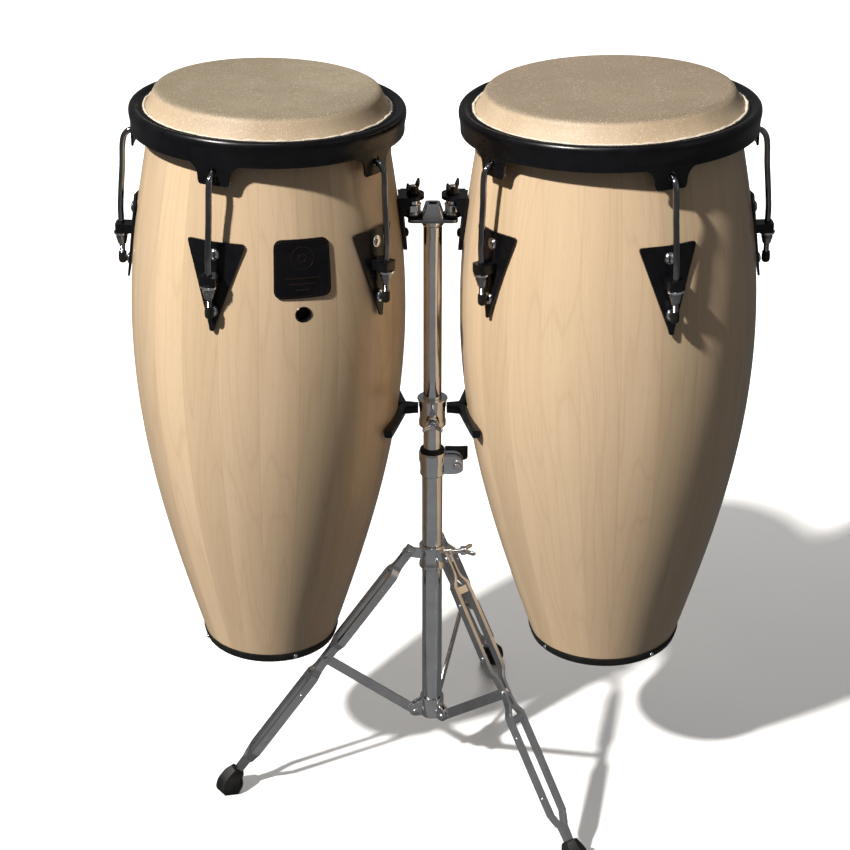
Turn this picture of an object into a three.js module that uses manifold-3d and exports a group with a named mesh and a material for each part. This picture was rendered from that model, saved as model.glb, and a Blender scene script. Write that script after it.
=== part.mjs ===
// A pair of conga drums hanging from one folding double stand.
// Millimetres, +Z up. The stand's pole is the modelling axis; the finished group is then shifted
// so that its origin lies on the floor under the centre of its bounding box.
// An azimuth is in degrees: 0 faces the player's side (-Y) and positive turns towards +X.

import * as THREE from 'three';
import { mergeVertices } from 'three/addons/utils/BufferGeometryUtils.js';
import Module from 'manifold-3d';

const wasm = await Module();
wasm.setup();

const ROUND_STEPS = 32;
const TUBE_STEPS = 20;
const SMALL_STEPS = 8;
const PLAY = 0.4;

// Both drums share their heights and hardware; only their radii differ.
const DRUM = {
  height: 711,
  bellyHeight: 430,
  shellTop: 700,
  shellBottom: 3.8,
  wall: 10,
  skin: 2.2,
  lean: THREE.MathUtils.degToRad(1.8),
  floorClearance: 218.5,
  ventHeight: 498,
  ventRadius: 8.5,
};
const QUINTO = { name: 'quinto', side: -1, top: 127, belly: 161, foot: 80.5, rim: 156 };
const CONGA = { name: 'conga', side: 1, top: 139.7, belly: 174, foot: 90, rim: 170 };

const RIM = {
  beadHeight: 685,
  skirtHeight: 664,
  tabHeight: 641,
  tabHalf: 20,
  holeHeight: 655.5,
  holeHalf: 4.5,
};
const HOOK = { radius: 3.5, offset: 14.5, endHeight: 497, tipLength: 11, tipRadius: 4.2 };
const LUG = {
  count: 5,
  fromMount: 36,
  height: 94,
  halfWidth: 33.5,
  centre: 531,
  ridge: 5,
  fall: 0.168,
  sheet: 2.5,
  boltRadius: 5.5,
  boltHeight: 2,
  upperBolt: 33,
  lowerBolt: -30.5,
  receiverBottom: 534,
  receiverTop: 544.5,
  receiverHalf: 9.5,
  receiverPast: 6.5,
  tipDrop: 6.5,
};
const NUT = { washerRadius: 9.4, washer: 3, hexRadius: 6.6, height: 15, noseRadius: 5.2 };

// Pole and the pieces on it, by height above the floor.
const POLE = {
  upperRadius: 11.1,
  upperBottom: 262,
  upperTop: 774,
  lowerRadius: 12.7,
  lowerBottom: 85,
  lowerTop: 470,
  wall: 1.2,
  drumGap: 34.5,
};
const CROSSBAR = { half: 29, depth: 16.5, top: 776, sheet: 4, collarRadius: 14, collar: 7 };
const SOCKET = { half: 12, depth: 14, shoulder: 780, top: 792, topHalf: 8.5, topDepth: 9, bore: 5.5 };
const STUD = { offset: 22.7, radius: 4, top: 813, wingTurn: 60 };
const BRACKET = {
  shelf: 803,
  sheet: 4,
  half: 20,
  plateBottom: 731,
  plateTop: 807,
  bossRadius: 9,
  boltRadius: 5,
  boltHeights: [-27, -10],
};
const CRADLE = {
  bottom: 508,
  top: 545,
  radius: 16.5,
  armHeight: 531,
  armThick: 9.5,
  armTall: 12,
  armStart: 24,
  armSpread: 66,
};
const CLAMP = { bottom: 441, top: 473, radius: 16.5, earX: 38, earDepth: 9, boltX: 30, boltHeight: 456 };
const COLLAR = { bottom: 310, top: 342, radius: 16.5, screwAzimuth: 10.9, screwHeight: 327 };
const SCREW = { clampRadius: 4, radius: 3.5, cradleRise: 12, clampSpan: 30, span: 26 };
const HUB = { bottom: 86, top: 115, radius: 15.4 };

// Leg linkage in the leg's own radial plane: [distance from the pole axis, height].
const LINK = {
  angles: { left: 190.9, front: 310.9, rear: 70.9 },
  collarPivot: [31.4, 333.5],
  footPoint: [280.8, 0],
  soleInset: 9.8,
  hubPivot: [22.4, 93],
  midPivot: [139.7, 188.6],
  slot: 3.4,
  railTop: 4.3,
  railBottom: 6.5,
  railLength: 378,
  neckHalf: 4.6,
  tongue: 2.8,
  pin: 3,
  braceHalf: 6.5,
};

// The leg's rails: [distance along the leg, half of the gap between them, half of the whole width].
const LOOPS = [
  [-8, 1.7, 4.6], [22, 1.7, 4.9], [34, 6.6, 11.4], [46, 7.6, 12.4], [140, 7.6, 12.4], [152, 6.4, 11.2],
  [165, 1.7, 5.6], [195, 1.7, 5.6], [208, 6.4, 11.2], [220, 7.6, 12.4], [330, 7.6, 12.4], [344, 6.2, 11],
  [358, 1.2, 6.4],
];

// ---------- solids ----------

function signedVolume(vertices, triangles) {
  const corners = [new THREE.Vector3(), new THREE.Vector3(), new THREE.Vector3()];
  let volume = 0;
  for (let i = 0; i < triangles.length; i += 3) {
    corners.forEach((corner, k) => corner.fromArray(vertices, triangles[i + k] * 3));
    volume += corners[0].dot(corners[1].clone().cross(corners[2])) / 6;
  }
  return volume;
}

// A closed geometry as a solid: shared vertices merged, empty triangles dropped, faces outward.
function solidOf(geometry) {
  const bare = geometry.clone();
  bare.deleteAttribute('normal');
  bare.deleteAttribute('uv');
  const merged = mergeVertices(bare, 1e-3);
  const index = merged.index.array;
  const triangles = [];
  for (let i = 0; i < index.length; i += 3) {
    const [a, b, c] = [index[i], index[i + 1], index[i + 2]];
    if (a !== b && b !== c && c !== a) triangles.push(a, b, c);
  }
  const vertices = merged.attributes.position.array;
  if (signedVolume(vertices, triangles) < 0) triangles.reverse();
  const mesh = new wasm.Mesh({
    numProp: 3,
    vertProperties: new Float32Array(vertices),
    triVerts: new Uint32Array(triangles),
  });
  return new wasm.Manifold(mesh);
}

function geometryOf(solid) {
  const mesh = solid.getMesh();
  const geometry = new THREE.BufferGeometry();
  geometry.setAttribute('position', new THREE.BufferAttribute(new Float32Array(mesh.vertProperties), 3));
  geometry.setIndex(new THREE.BufferAttribute(new Uint32Array(mesh.triVerts), 1));
  geometry.computeVertexNormals();
  return geometry;
}

function join(...geometries) {
  return geometryOf(geometries.map(solidOf).reduce((whole, piece) => whole.add(piece)));
}

function cut(geometry, ...tools) {
  return geometryOf(tools.map(solidOf).reduce((whole, tool) => whole.subtract(tool), solidOf(geometry)));
}

function common(first, second) {
  return geometryOf(solidOf(first).intersect(solidOf(second)));
}

// ---------- basic shapes ----------

function steps(from, to, count) {
  return Array.from({ length: count + 1 }, (_, i) => from + ((to - from) * i) / count);
}

// Turns a profile of [radius, height] points about +Z; it starts and ends on the axis or on itself.
function turned(profile, segments = ROUND_STEPS) {
  const points = profile.map(([radius, height]) => new THREE.Vector2(radius, height));
  return new THREE.LatheGeometry(points, segments).rotateX(Math.PI / 2);
}

function closed(profile) {
  return [...profile, profile[0]];
}

function ring(inner, outer, bottom, top, segments = ROUND_STEPS) {
  return turned(closed([[inner, bottom], [outer, bottom], [outer, top], [inner, top]]), segments);
}

function disc(radius, bottom, top, segments = SMALL_STEPS) {
  return turned([[0, bottom], [radius, bottom], [radius, top], [0, top]], segments);
}

// A round bar of the given length, centred on the origin along Y.
function rod(radius, length) {
  return new THREE.CylinderGeometry(radius, radius, length, SMALL_STEPS);
}

function box(xRange, yRange, zRange) {
  const middle = [xRange, yRange, zRange].map(([low, high]) => (low + high) / 2);
  const size = [xRange, yRange, zRange].map(([low, high]) => high - low);
  return new THREE.BoxGeometry(...size).translate(...middle);
}

function outline(points) {
  return new THREE.Shape(points.map(([x, y]) => new THREE.Vector2(x, y)));
}

// A flat outline thickened by the same amount to both sides of its own plane.
function slab(shape, thickness) {
  const options = { depth: thickness, bevelEnabled: false, curveSegments: 4 };
  return new THREE.ExtrudeGeometry(shape, options).translate(0, 0, -thickness / 2);
}

// A bar between two points of one plane, round at both ends, with round holes at the given centres.
function holedStrip(from, to, half, holeRadius, centres) {
  const angle = Math.atan2(to[1] - from[1], to[0] - from[0]);
  const shape = new THREE.Shape();
  shape.absarc(from[0], from[1], half, angle + Math.PI / 2, angle + (3 * Math.PI) / 2, false);
  shape.absarc(to[0], to[1], half, angle - Math.PI / 2, angle + Math.PI / 2, false);
  for (const [x, y] of centres) {
    const hole = new THREE.Path();
    hole.absarc(x, y, holeRadius, 0, 2 * Math.PI, true);
    shape.holes.push(hole);
  }
  return shape;
}

function bentRod(points, radius, stepCount) {
  const path = new THREE.CatmullRomCurve3(points.map((p) => new THREE.Vector3(...p)), false, 'centripetal');
  const section = new THREE.Shape();
  section.absarc(0, 0, radius, 0, 2 * Math.PI, false);
  return new THREE.ExtrudeGeometry(section, { extrudePath: path, steps: stepCount, curveSegments: 3 });
}

// Stands a shape that was drawn in X (sideways), Y (up), Z (outward) up at an azimuth.
function facing(geometry, azimuth) {
  return geometry.rotateX(Math.PI / 2).rotateZ(THREE.MathUtils.degToRad(azimuth));
}

// Stands a shape drawn in X (outward), Y (up) up in the radial plane at an angle from +X.
function inRadialPlane(geometry, angle) {
  return geometry.rotateX(Math.PI / 2).rotateZ(THREE.MathUtils.degToRad(angle));
}

// ---------- drum ----------

function barrelRadius(drum, height) {
  if (height <= DRUM.bellyHeight) {
    const rise = Math.sin((Math.PI / 2) * (height / DRUM.bellyHeight));
    return drum.foot + (drum.belly - drum.foot) * rise;
  }
  const climb = (height - DRUM.bellyHeight) / (DRUM.shellTop - DRUM.bellyHeight);
  return drum.top + (drum.belly - drum.top) * Math.cos((Math.PI / 2) * climb);
}

function mountAzimuth(drum) {
  return -90 * drum.side;
}

function shell(drum) {
  const outside = steps(DRUM.shellBottom, DRUM.shellTop, 10).map((z) => [barrelRadius(drum, z), z]);
  const bearingEdge = [[drum.top - 4, 708], [drum.top - 8, 706]];
  const inside = steps(DRUM.shellTop - 8, DRUM.shellBottom, 5)
    .map((z) => [barrelRadius(drum, z) - DRUM.wall, z]);
  const body = turned(closed([...outside, ...bearingEdge, ...inside]));
  const drill = rod(DRUM.ventRadius, drum.belly)
    .rotateX(Math.PI / 2)
    .translate(0, DRUM.ventHeight, drum.belly);
  return cut(body, facing(drill, mountAzimuth(drum) - 72));
}

// The skin lies on the bearing edge and flares down to the rim; its collar holds the flesh hoop
// that the rim pulls on.
function head(drum) {
  const wallAt = (z) => barrelRadius(drum, z) + 0.6;
  const flare = drum.rim - 17;
  const collar = drum.rim - 13;
  return turned([
    [0, DRUM.height],
    [drum.top - 7.5, DRUM.height],
    [drum.top - 3.5, DRUM.height - 0.6],
    [drum.top - 0.5, DRUM.height - 2.3],
    [drum.top + 2, DRUM.height - 5.8],
    [flare, 686],
    [flare, 679.5],
    [collar, 679.5],
    [collar, 668],
    [wallAt(668) + 0.2, 668],
    [wallAt(690), 690],
    [drum.top + 0.6, 700.5],
    [drum.top - 3.4, DRUM.height - DRUM.skin],
    [0, DRUM.height - DRUM.skin],
  ]);
}

// Each tab widens towards the skirt it hangs from.
function tabOutline() {
  const { tabHeight, skirtHeight, tabHalf } = RIM;
  const side = [
    [tabHalf - 3, tabHeight],
    [tabHalf - 1.4, tabHeight + 1.8],
    [tabHalf, skirtHeight - 12],
    [tabHalf + 2, skirtHeight - 6.5],
    [tabHalf + 6, skirtHeight - 2.5],
    [tabHalf + 12, skirtHeight],
    [tabHalf + 12, skirtHeight + 4],
  ];
  return outline([...side, ...side.toReversed().map(([x, y]) => [-x, y])]);
}

// A rolled rim: inner lip on the hoop, narrow channel, outer bead, straight skirt and hook tabs.
function rim(drum) {
  const section = [
    [-16.4, -5], [-13.5, -5], [-12.5, -1.5], [-8.5, -1], [-6, -4], [-5.4, -10], [-5, -21], [-2, -21],
    [-2.7, -12], [-1.3, -5], [-0.2, 0], [-1, 4.4], [-4, 7], [-7.4, 6], [-10.4, 2.8], [-13, 2.6],
    [-14.8, 4.4], [-16.4, 3.2],
  ];
  const body = turned(closed(section.map(([r, z]) => [drum.rim + r, RIM.beadHeight + z])));
  const band = ring(drum.rim - 5, drum.rim - 2, RIM.tabHeight, RIM.skirtHeight + 1.5);
  const tabs = lugAzimuths(drum).map((azimuth) => {
    const wedge = slab(tabOutline(), 40).translate(0, 0, drum.rim);
    return common(band, facing(wedge, azimuth));
  });
  const holes = lugAzimuths(drum).map((azimuth) => {
    const { holeHeight, holeHalf } = RIM;
    const across = [-holeHalf, holeHalf];
    const hole = box(across, [holeHeight - 5, holeHeight + 5.5], [drum.rim - 12, drum.rim + 6]);
    return facing(hole, azimuth);
  });
  return cut(join(body, ...tabs), ...holes);
}

function baseRing(drum) {
  const lip = 1.8;
  const band = 12;
  const mouth = drum.foot - 9;
  const outside = (z) => barrelRadius(drum, z) + PLAY + lip;
  const inside = (z) => barrelRadius(drum, z) + PLAY;
  return turned(closed([
    [mouth, 0],
    [outside(0), 0],
    [outside(band), band],
    [inside(band), band],
    [inside(DRUM.shellBottom), DRUM.shellBottom - PLAY],
    [mouth, DRUM.shellBottom - PLAY],
  ]));
}

function lugAzimuths(drum) {
  const first = mountAzimuth(drum) + LUG.fromMount;
  return Array.from({ length: LUG.count }, (_, i) => first + (i * 360) / LUG.count);
}

function lugPlateOutline() {
  const { halfWidth, height, tipDrop } = LUG;
  const half = height / 2;
  return outline([
    [-halfWidth + 3, half],
    [halfWidth - 3, half],
    [halfWidth, half - 3],
    [halfWidth - 1, half - 7],
    [4, 1 - half],
    [2.5, -half - tipDrop],
    [-2.5, -half - tipDrop],
    [-4, 1 - half],
    [1 - halfWidth, half - 7],
    [-halfWidth, half - 3],
  ]);
}

// The side plate is a folded sheet: its ridge stands clear of the shell and its wings lie on it.
function foldedSheet() {
  const reach = LUG.halfWidth + 1;
  const edge = LUG.ridge - LUG.fall * reach;
  const section = outline([
    [-reach, edge],
    [-reach, edge - LUG.sheet],
    [0, LUG.ridge - LUG.sheet],
    [reach, edge - LUG.sheet],
    [reach, edge],
    [0, LUG.ridge],
  ]);
  return slab(section, LUG.height + 3 * LUG.tipDrop).rotateX(Math.PI / 2).rotateZ(Math.PI);
}

function lug(drum, azimuth) {
  const surface = barrelRadius(drum, LUG.centre);
  const low = barrelRadius(drum, LUG.centre - LUG.height / 2);
  const high = barrelRadius(drum, LUG.centre + LUG.height / 2);
  const tilt = Math.atan2(low - high, LUG.height);
  const seat = (geometry) => facing(geometry.rotateX(-tilt).translate(0, LUG.centre, surface), azimuth);
  const plate = common(foldedSheet(), slab(lugPlateOutline(), 40));
  const sunk = 1.5;
  const bolt = (height) => rod(LUG.boltRadius, LUG.boltHeight + sunk)
    .rotateX(Math.PI / 2)
    .translate(0, height, LUG.ridge + (LUG.boltHeight - sunk) / 2);
  const rodAxis = drum.rim + HOOK.offset;
  const receiver = box(
    [-LUG.receiverHalf, LUG.receiverHalf],
    [LUG.receiverBottom, LUG.receiverTop],
    [surface + 1.6, rodAxis + LUG.receiverPast],
  );
  const bore = disc(HOOK.radius + PLAY, LUG.receiverBottom - 5, LUG.receiverTop + 5)
    .translate(0, -rodAxis, 0)
    .rotateZ(THREE.MathUtils.degToRad(azimuth));
  const body = join(
    seat(plate),
    seat(bolt(LUG.upperBolt)),
    seat(bolt(LUG.lowerBolt)),
    facing(receiver, azimuth),
  );
  return cut(body, bore);
}

// The hook passes inward through its tab; below the receiver it runs straight to a rubber tip.
function hook(drum, azimuth) {
  const r = drum.rim;
  const axis = r + HOOK.offset;
  const route = [
    [r - 9, 655], [r - 3, 655.5], [r + 3, 653.5], [r + 7.5, 647.5], [r + 9.5, 637],
    [r + 10.5, 615], [r + 12.8, 588], [axis, 564], [axis, 550], [axis, HOOK.endHeight],
  ];
  const wire = bentRod(route.map(([radius, z]) => [0, -radius, z]), HOOK.radius, 12);
  const { tipRadius, tipLength, endHeight } = HOOK;
  const tip = disc(tipRadius, endHeight - 1, endHeight + tipLength).translate(0, -axis, 0);
  return join(wire, tip).rotateZ(THREE.MathUtils.degToRad(azimuth));
}

function tuningNut(drum, azimuth) {
  const top = LUG.receiverBottom - PLAY;
  const bore = HOOK.radius + PLAY;
  const profile = closed([
    [bore, top - NUT.height],
    [NUT.noseRadius, top - NUT.height],
    [NUT.hexRadius, top - NUT.washer],
    [NUT.washerRadius, top - NUT.washer],
    [NUT.washerRadius, top],
    [bore, top],
  ]);
  return turned(profile, SMALL_STEPS)
    .translate(0, -(drum.rim + HOOK.offset), 0)
    .rotateZ(THREE.MathUtils.degToRad(azimuth));
}

// Where a drum's own frame (axis on +Z, foot at height 0) stands in the stand's frame.
function drumMatrix(drum) {
  const middle = DRUM.height / 2;
  const axisX = drum.side * (POLE.drumGap + drum.belly);
  return new THREE.Matrix4()
    .makeTranslation(axisX, 0, DRUM.floorClearance + middle)
    .multiply(new THREE.Matrix4().makeRotationY(-drum.side * DRUM.lean))
    .multiply(new THREE.Matrix4().makeTranslation(0, 0, -middle));
}

// The bracket's back plate follows the leaning shell; its shelf lies level on the crossbar's stud.
function mountBracket(drum) {
  const { shelf, sheet, half, plateBottom, plateTop, bossRadius, boltRadius, boltHeights } = BRACKET;
  const low = plateBottom - DRUM.floorClearance;
  const high = plateTop - DRUM.floorClearance;
  const tilt = Math.atan2(barrelRadius(drum, low) - barrelRadius(drum, high), high - low);
  const centre = (low + high) / 2;
  const reach = (high - low) / 2;
  const plate = box([-half, half], [-reach, reach], [1, 1 + sheet]).rotateX(-tilt);
  const bolts = boltHeights.map((height) => rod(boltRadius, 4.5)
    .rotateX(Math.PI / 2)
    .rotateX(-tilt)
    .translate(0, height, sheet + 2 - height * Math.tan(tilt)));
  const seat = (geometry) => facing(
    geometry.translate(0, centre, barrelRadius(drum, centre) + 0.6),
    mountAzimuth(drum),
  ).applyMatrix4(drumMatrix(drum));
  const span = (near, far) => [near * drum.side, far * drum.side].sort((a, b) => a - b);
  const shelfPlate = box(span(12.5, 37), [2 - half, half - 2], [shelf - sheet, shelf]);
  const cheek = (y) => box(span(29, 36), [y - 1.5, y + 1.5], [shelf - 24, shelf - 1]);
  const onStud = (geometry) => geometry.translate(drum.side * STUD.offset, 0, 0);
  const boss = onStud(disc(bossRadius, CROSSBAR.top + PLAY, shelf - 1, 12));
  const bore = onStud(disc(STUD.radius + PLAY, CROSSBAR.top - 5, shelf + 5, 12));
  const cheeks = [cheek(half - 3.5), cheek(3.5 - half)];
  const body = join(seat(plate), ...bolts.map(seat), shelfPlate, ...cheeks, boss);
  const clearShell = turned([
    [0, 0],
    ...steps(0, DRUM.shellTop, 24).map((z) => [barrelRadius(drum, z) + 0.6, z]),
    [0, DRUM.shellTop],
  ]).applyMatrix4(drumMatrix(drum));
  return cut(body, bore, clearShell);
}

// ---------- stand ----------

// A block that narrows above its shoulder, seen alike from the front and from the side.
function socketFace(half, topHalf, bottom) {
  const { shoulder, top } = SOCKET;
  return outline([
    [-half, bottom], [half, bottom], [half, shoulder], [topHalf, top], [-topHalf, top], [-half, shoulder],
  ]);
}

// The crossbar on top of the pole carries a drum stud on each side of a socket for an accessory.
function upperTube() {
  const { upperRadius, upperBottom, upperTop, wall } = POLE;
  const { half, depth, top, sheet, collarRadius, collar } = CROSSBAR;
  const inside = upperRadius - wall;
  const tube = ring(inside, upperRadius, upperBottom, upperTop, TUBE_STEPS);
  const weld = ring(inside, collarRadius, top - sheet - collar, top - 1, TUBE_STEPS);
  const plate = box([-half, half], [-depth, depth], [top - sheet, top]);
  const front = slab(socketFace(SOCKET.half, SOCKET.topHalf, top - 1), 2 * SOCKET.depth);
  const side = slab(socketFace(SOCKET.depth, SOCKET.topDepth, top - 1), 2 * SOCKET.depth);
  const socket = common(front.rotateX(Math.PI / 2), side.rotateX(Math.PI / 2).rotateZ(Math.PI / 2));
  const bore = disc(SOCKET.bore, top - 20, SOCKET.top + 5, TUBE_STEPS);
  const studs = [-1, 1].map((end) => disc(STUD.radius, top - sheet - 3, STUD.top)
    .translate(end * STUD.offset, 0, 0));
  return join(cut(join(plate, socket), bore), tube, weld, ...studs);
}

function lowerTube() {
  const { lowerRadius, lowerBottom, lowerTop, wall } = POLE;
  return ring(lowerRadius - wall, lowerRadius, lowerBottom, lowerTop, TUBE_STEPS);
}

// A wing handle on a screw whose axis runs along +X from its tip at the origin.
function wingScrew(shaft, radius, wingSpan) {
  const alongX = (geometry, middle) => geometry.rotateZ(Math.PI / 2).translate(middle, 0, 0);
  const stem = alongX(rod(radius, shaft), shaft / 2);
  const neck = alongX(rod(radius + 2, 8), shaft);
  const upper = [
    [shaft, 4], [shaft + 5, 6], [shaft + 10, wingSpan / 2], [shaft + 16, wingSpan / 2], [shaft + 13, 0],
  ];
  const lower = upper.slice(0, -1).toReversed().map(([x, y]) => [x, -y]);
  return join(stem, neck, slab(outline([...upper, ...lower]), 4));
}

// A wing nut on a vertical stud: open through the middle, with two wings raised to the sides.
function wingNut() {
  const bottom = BRACKET.shelf + PLAY;
  const bore = STUD.radius + PLAY;
  const wing = outline([[-14, 11], [-9, 13], [-5, 7], [5, 7], [9, 13], [14, 11], [6.5, 0], [-6.5, 0]]);
  const blades = slab(wing, 3.6)
    .rotateX(Math.PI / 2)
    .rotateZ(THREE.MathUtils.degToRad(STUD.wingTurn))
    .translate(0, 0, bottom);
  const barrel = disc(7, bottom, bottom + 8);
  return cut(join(barrel, blades), disc(bore, bottom - 2, bottom + 20));
}

function heightClamp() {
  const { bottom, top, radius, earX, earDepth, boltX, boltHeight } = CLAMP;
  const sleeve = disc(radius, bottom, top, TUBE_STEPS);
  const ear = box([radius - 2, earX], [-earDepth, earDepth], [bottom + 1, top - 5]);
  const slit = box([radius + 1, earX + 2], [-1.5, 1.5], [bottom - 2, top + 2]);
  const bore = rod(SCREW.clampRadius + PLAY, 60).translate(boltX, 0, boltHeight);
  const tube = disc(POLE.lowerRadius + PLAY, bottom - 5, top + 5, TUBE_STEPS);
  return cut(join(sleeve, ear), slit, bore, tube);
}

// The cradle's arms fork to both sides of each drum's waist and steady it.
function cradle() {
  const { bottom, top, radius, armHeight, armThick, armTall, armStart, armSpread } = CRADLE;
  const sleeve = disc(radius, bottom, top, TUBE_STEPS);
  const arms = [QUINTO, CONGA].flatMap((drum) => {
    const level = armHeight - DRUM.floorClearance;
    const lean = Math.tan(DRUM.lean) * (level - DRUM.height / 2);
    const axis = POLE.drumGap + drum.belly - lean;
    const reach = barrelRadius(drum, level + armTall / 2) + armThick / 2 + 0.9;
    const endX = axis - Math.sqrt(reach ** 2 - armSpread ** 2);
    return [-1, 1].map((side) => {
      const start = new THREE.Vector2(drum.side * armStart, 0);
      const end = new THREE.Vector2(drum.side * endX, side * armSpread);
      const length = start.distanceTo(end) + armThick;
      const angle = Math.atan2(end.y - start.y, end.x - start.x);
      const across = [-armThick / 2, armThick / 2];
      return box([across[0], length - armThick / 2], across, [-armTall / 2, armTall / 2])
        .rotateZ(angle)
        .translate(start.x, start.y, armHeight);
    });
  });
  const bridge = box([-28, 28], [-6, 6], [armHeight - 6, armHeight + 6]);
  const level = bottom + SCREW.cradleRise;
  const seat = rod(8, 10).translate(0, -radius - 2, level);
  const body = join(sleeve, bridge, ...arms, seat);
  const screwHole = rod(SCREW.radius + PLAY, 20).translate(0, -radius - 6, level);
  return cut(body, disc(POLE.upperRadius + PLAY, bottom - 5, top + 5, TUBE_STEPS), screwHole);
}

function legCollar() {
  const { bottom, top, radius, screwAzimuth, screwHeight } = COLLAR;
  const [pivotR, pivotZ] = LINK.collarPivot;
  const sleeve = disc(radius, bottom, top, TUBE_STEPS);
  const tongues = Object.values(LINK.angles).map((angle) => {
    const shape = holedStrip([16, pivotZ - 4], [pivotR, pivotZ], 7, LINK.pin + PLAY, [LINK.collarPivot]);
    return inRadialPlane(slab(shape, LINK.tongue), angle);
  });
  const along = THREE.MathUtils.degToRad(screwAzimuth);
  const outward = (geometry, distance) => geometry
    .rotateZ(Math.PI / 2)
    .translate(radius + distance, 0, screwHeight)
    .rotateZ(along);
  const seat = outward(rod(7, 12), 2);
  const screwHole = outward(rod(SCREW.radius + PLAY, 40), 16);
  const tube = disc(POLE.lowerRadius + PLAY, bottom - 5, top + 5, TUBE_STEPS);
  return cut(join(sleeve, ...tongues, seat), tube, screwHole);
}

function hub() {
  const { bottom, top, radius } = HUB;
  const [pivotR, pivotZ] = LINK.hubPivot;
  const sleeve = disc(radius, bottom, top, TUBE_STEPS);
  const ears = Object.values(LINK.angles).flatMap((angle) => {
    const ear = (side) => {
      const shape = outline([[13.5, 86.5], [25, 86.5], [29.5, 90], [30, 98], [24, 105], [13.5, 110]]);
      const middle = side * (LINK.slot / 2 + 1.5);
      return inRadialPlane(slab(shape, 3).translate(0, 0, middle), angle);
    };
    const pin = rod(LINK.pin, 11).rotateX(Math.PI / 2);
    return [ear(-1), ear(1), inRadialPlane(pin.translate(pivotR, pivotZ, 0), angle)];
  });
  const tube = disc(POLE.lowerRadius + PLAY, bottom - 5, top + 5, TUBE_STEPS);
  return cut(join(sleeve, ...ears), tube);
}

function legDirection() {
  const [pivotR, pivotZ] = LINK.collarPivot;
  const [footR, footZ] = LINK.footPoint;
  return Math.atan2(footZ - pivotZ, footR - pivotR);
}

// Two rails bow apart into an upper and a lower loop; between the loops they pinch the brace, and
// at the top they hold the collar's tongue.
function leg(angle) {
  const [pivotR, pivotZ] = LINK.collarPivot;
  const { railTop, railBottom, railLength, slot, pin } = LINK;
  const place = (geometry) => inRadialPlane(
    geometry.rotateZ(legDirection()).translate(pivotR, pivotZ, 0),
    angle,
  );
  const inner = LOOPS.map(([along, gap]) => [along, gap]);
  const outer = LOOPS.map(([along, , half]) => [along, half]);
  const oneSide = [[railLength, LINK.neckHalf], ...outer.toReversed(), ...inner, [LOOPS.at(-1)[0] + 4, 0]];
  const otherSide = oneSide.slice(0, -1).toReversed().map(([along, across]) => [along, -across]);
  const rails = place(slab(outline([...oneSide, ...otherSide]), railTop + railBottom)
    .rotateX(-Math.PI / 2)
    .translate(0, (railTop - railBottom) / 2, 0));
  const hinge = rod(pin, slot + 4).rotateX(Math.PI / 2);
  return join(rails, place(hinge));
}

// A rubber spade foot: flat on the floor, cut square to the leg at its upper end.
function foot(angle) {
  const direction = legDirection();
  const [pivotR, pivotZ] = LINK.collarPivot;
  const start = LINK.railLength + PLAY;
  const onCut = (across) => [
    pivotR + start * Math.cos(direction) - across * Math.sin(direction),
    pivotZ + start * Math.sin(direction) + across * Math.cos(direction),
  ];
  const sole = LINK.footPoint[0] - LINK.soleInset;
  const shape = outline([
    onCut(-8),
    [sole - 18, 12],
    [sole - 15, 2],
    [sole - 12.5, 0],
    [sole + 12.5, 0],
    [sole + 16, 4],
    [sole + 16.5, 12],
    [sole + 4, 36],
    onCut(12),
  ]);
  return inRadialPlane(slab(shape, 30), angle);
}

function brace(angle) {
  const { hubPivot, midPivot, braceHalf, pin, tongue } = LINK;
  const shape = holedStrip(hubPivot, midPivot, braceHalf, pin + PLAY, [hubPivot, midPivot]);
  return inRadialPlane(slab(shape, tongue), angle);
}

// ---------- materials and assembly ----------

const looks = {
  wood: { color: '#e2cba6', roughness: 0.3, metalness: 0 },
  skin: { color: '#cdbda4', roughness: 0.6, metalness: 0 },
  blackSteel: { color: '#17181b', roughness: 0.4, metalness: 0.2 },
  blackRubber: { color: '#101010', roughness: 0.8, metalness: 0 },
  chrome: { color: '#c9ccd1', roughness: 0.15, metalness: 1 },
};

function addPiece(group, name, geometry, look) {
  const mesh = new THREE.Mesh(geometryOf(solidOf(geometry)), new THREE.MeshStandardMaterial(looks[look]));
  mesh.name = name;
  group.add(mesh);
}

function addDrum(parent, drum) {
  const group = new THREE.Group();
  group.applyMatrix4(drumMatrix(drum));
  addPiece(group, `${drum.name}_shell`, shell(drum), 'wood');
  addPiece(group, `${drum.name}_head`, head(drum), 'skin');
  addPiece(group, `${drum.name}_rim`, rim(drum), 'blackSteel');
  addPiece(group, `${drum.name}_base_ring`, baseRing(drum), 'blackRubber');
  lugAzimuths(drum).forEach((azimuth, i) => {
    addPiece(group, `${drum.name}_lug_${i + 1}`, lug(drum, azimuth), 'blackSteel');
    addPiece(group, `${drum.name}_hook_${i + 1}`, hook(drum, azimuth), 'chrome');
    addPiece(group, `${drum.name}_nut_${i + 1}`, tuningNut(drum, azimuth), 'chrome');
  });
  parent.add(group);
  addPiece(parent, `${drum.name}_mount_bracket`, mountBracket(drum), 'blackSteel');
  addPiece(parent, `${drum.name}_wing_nut`, wingNut().translate(drum.side * STUD.offset, 0, 0), 'blackSteel');
}

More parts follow.
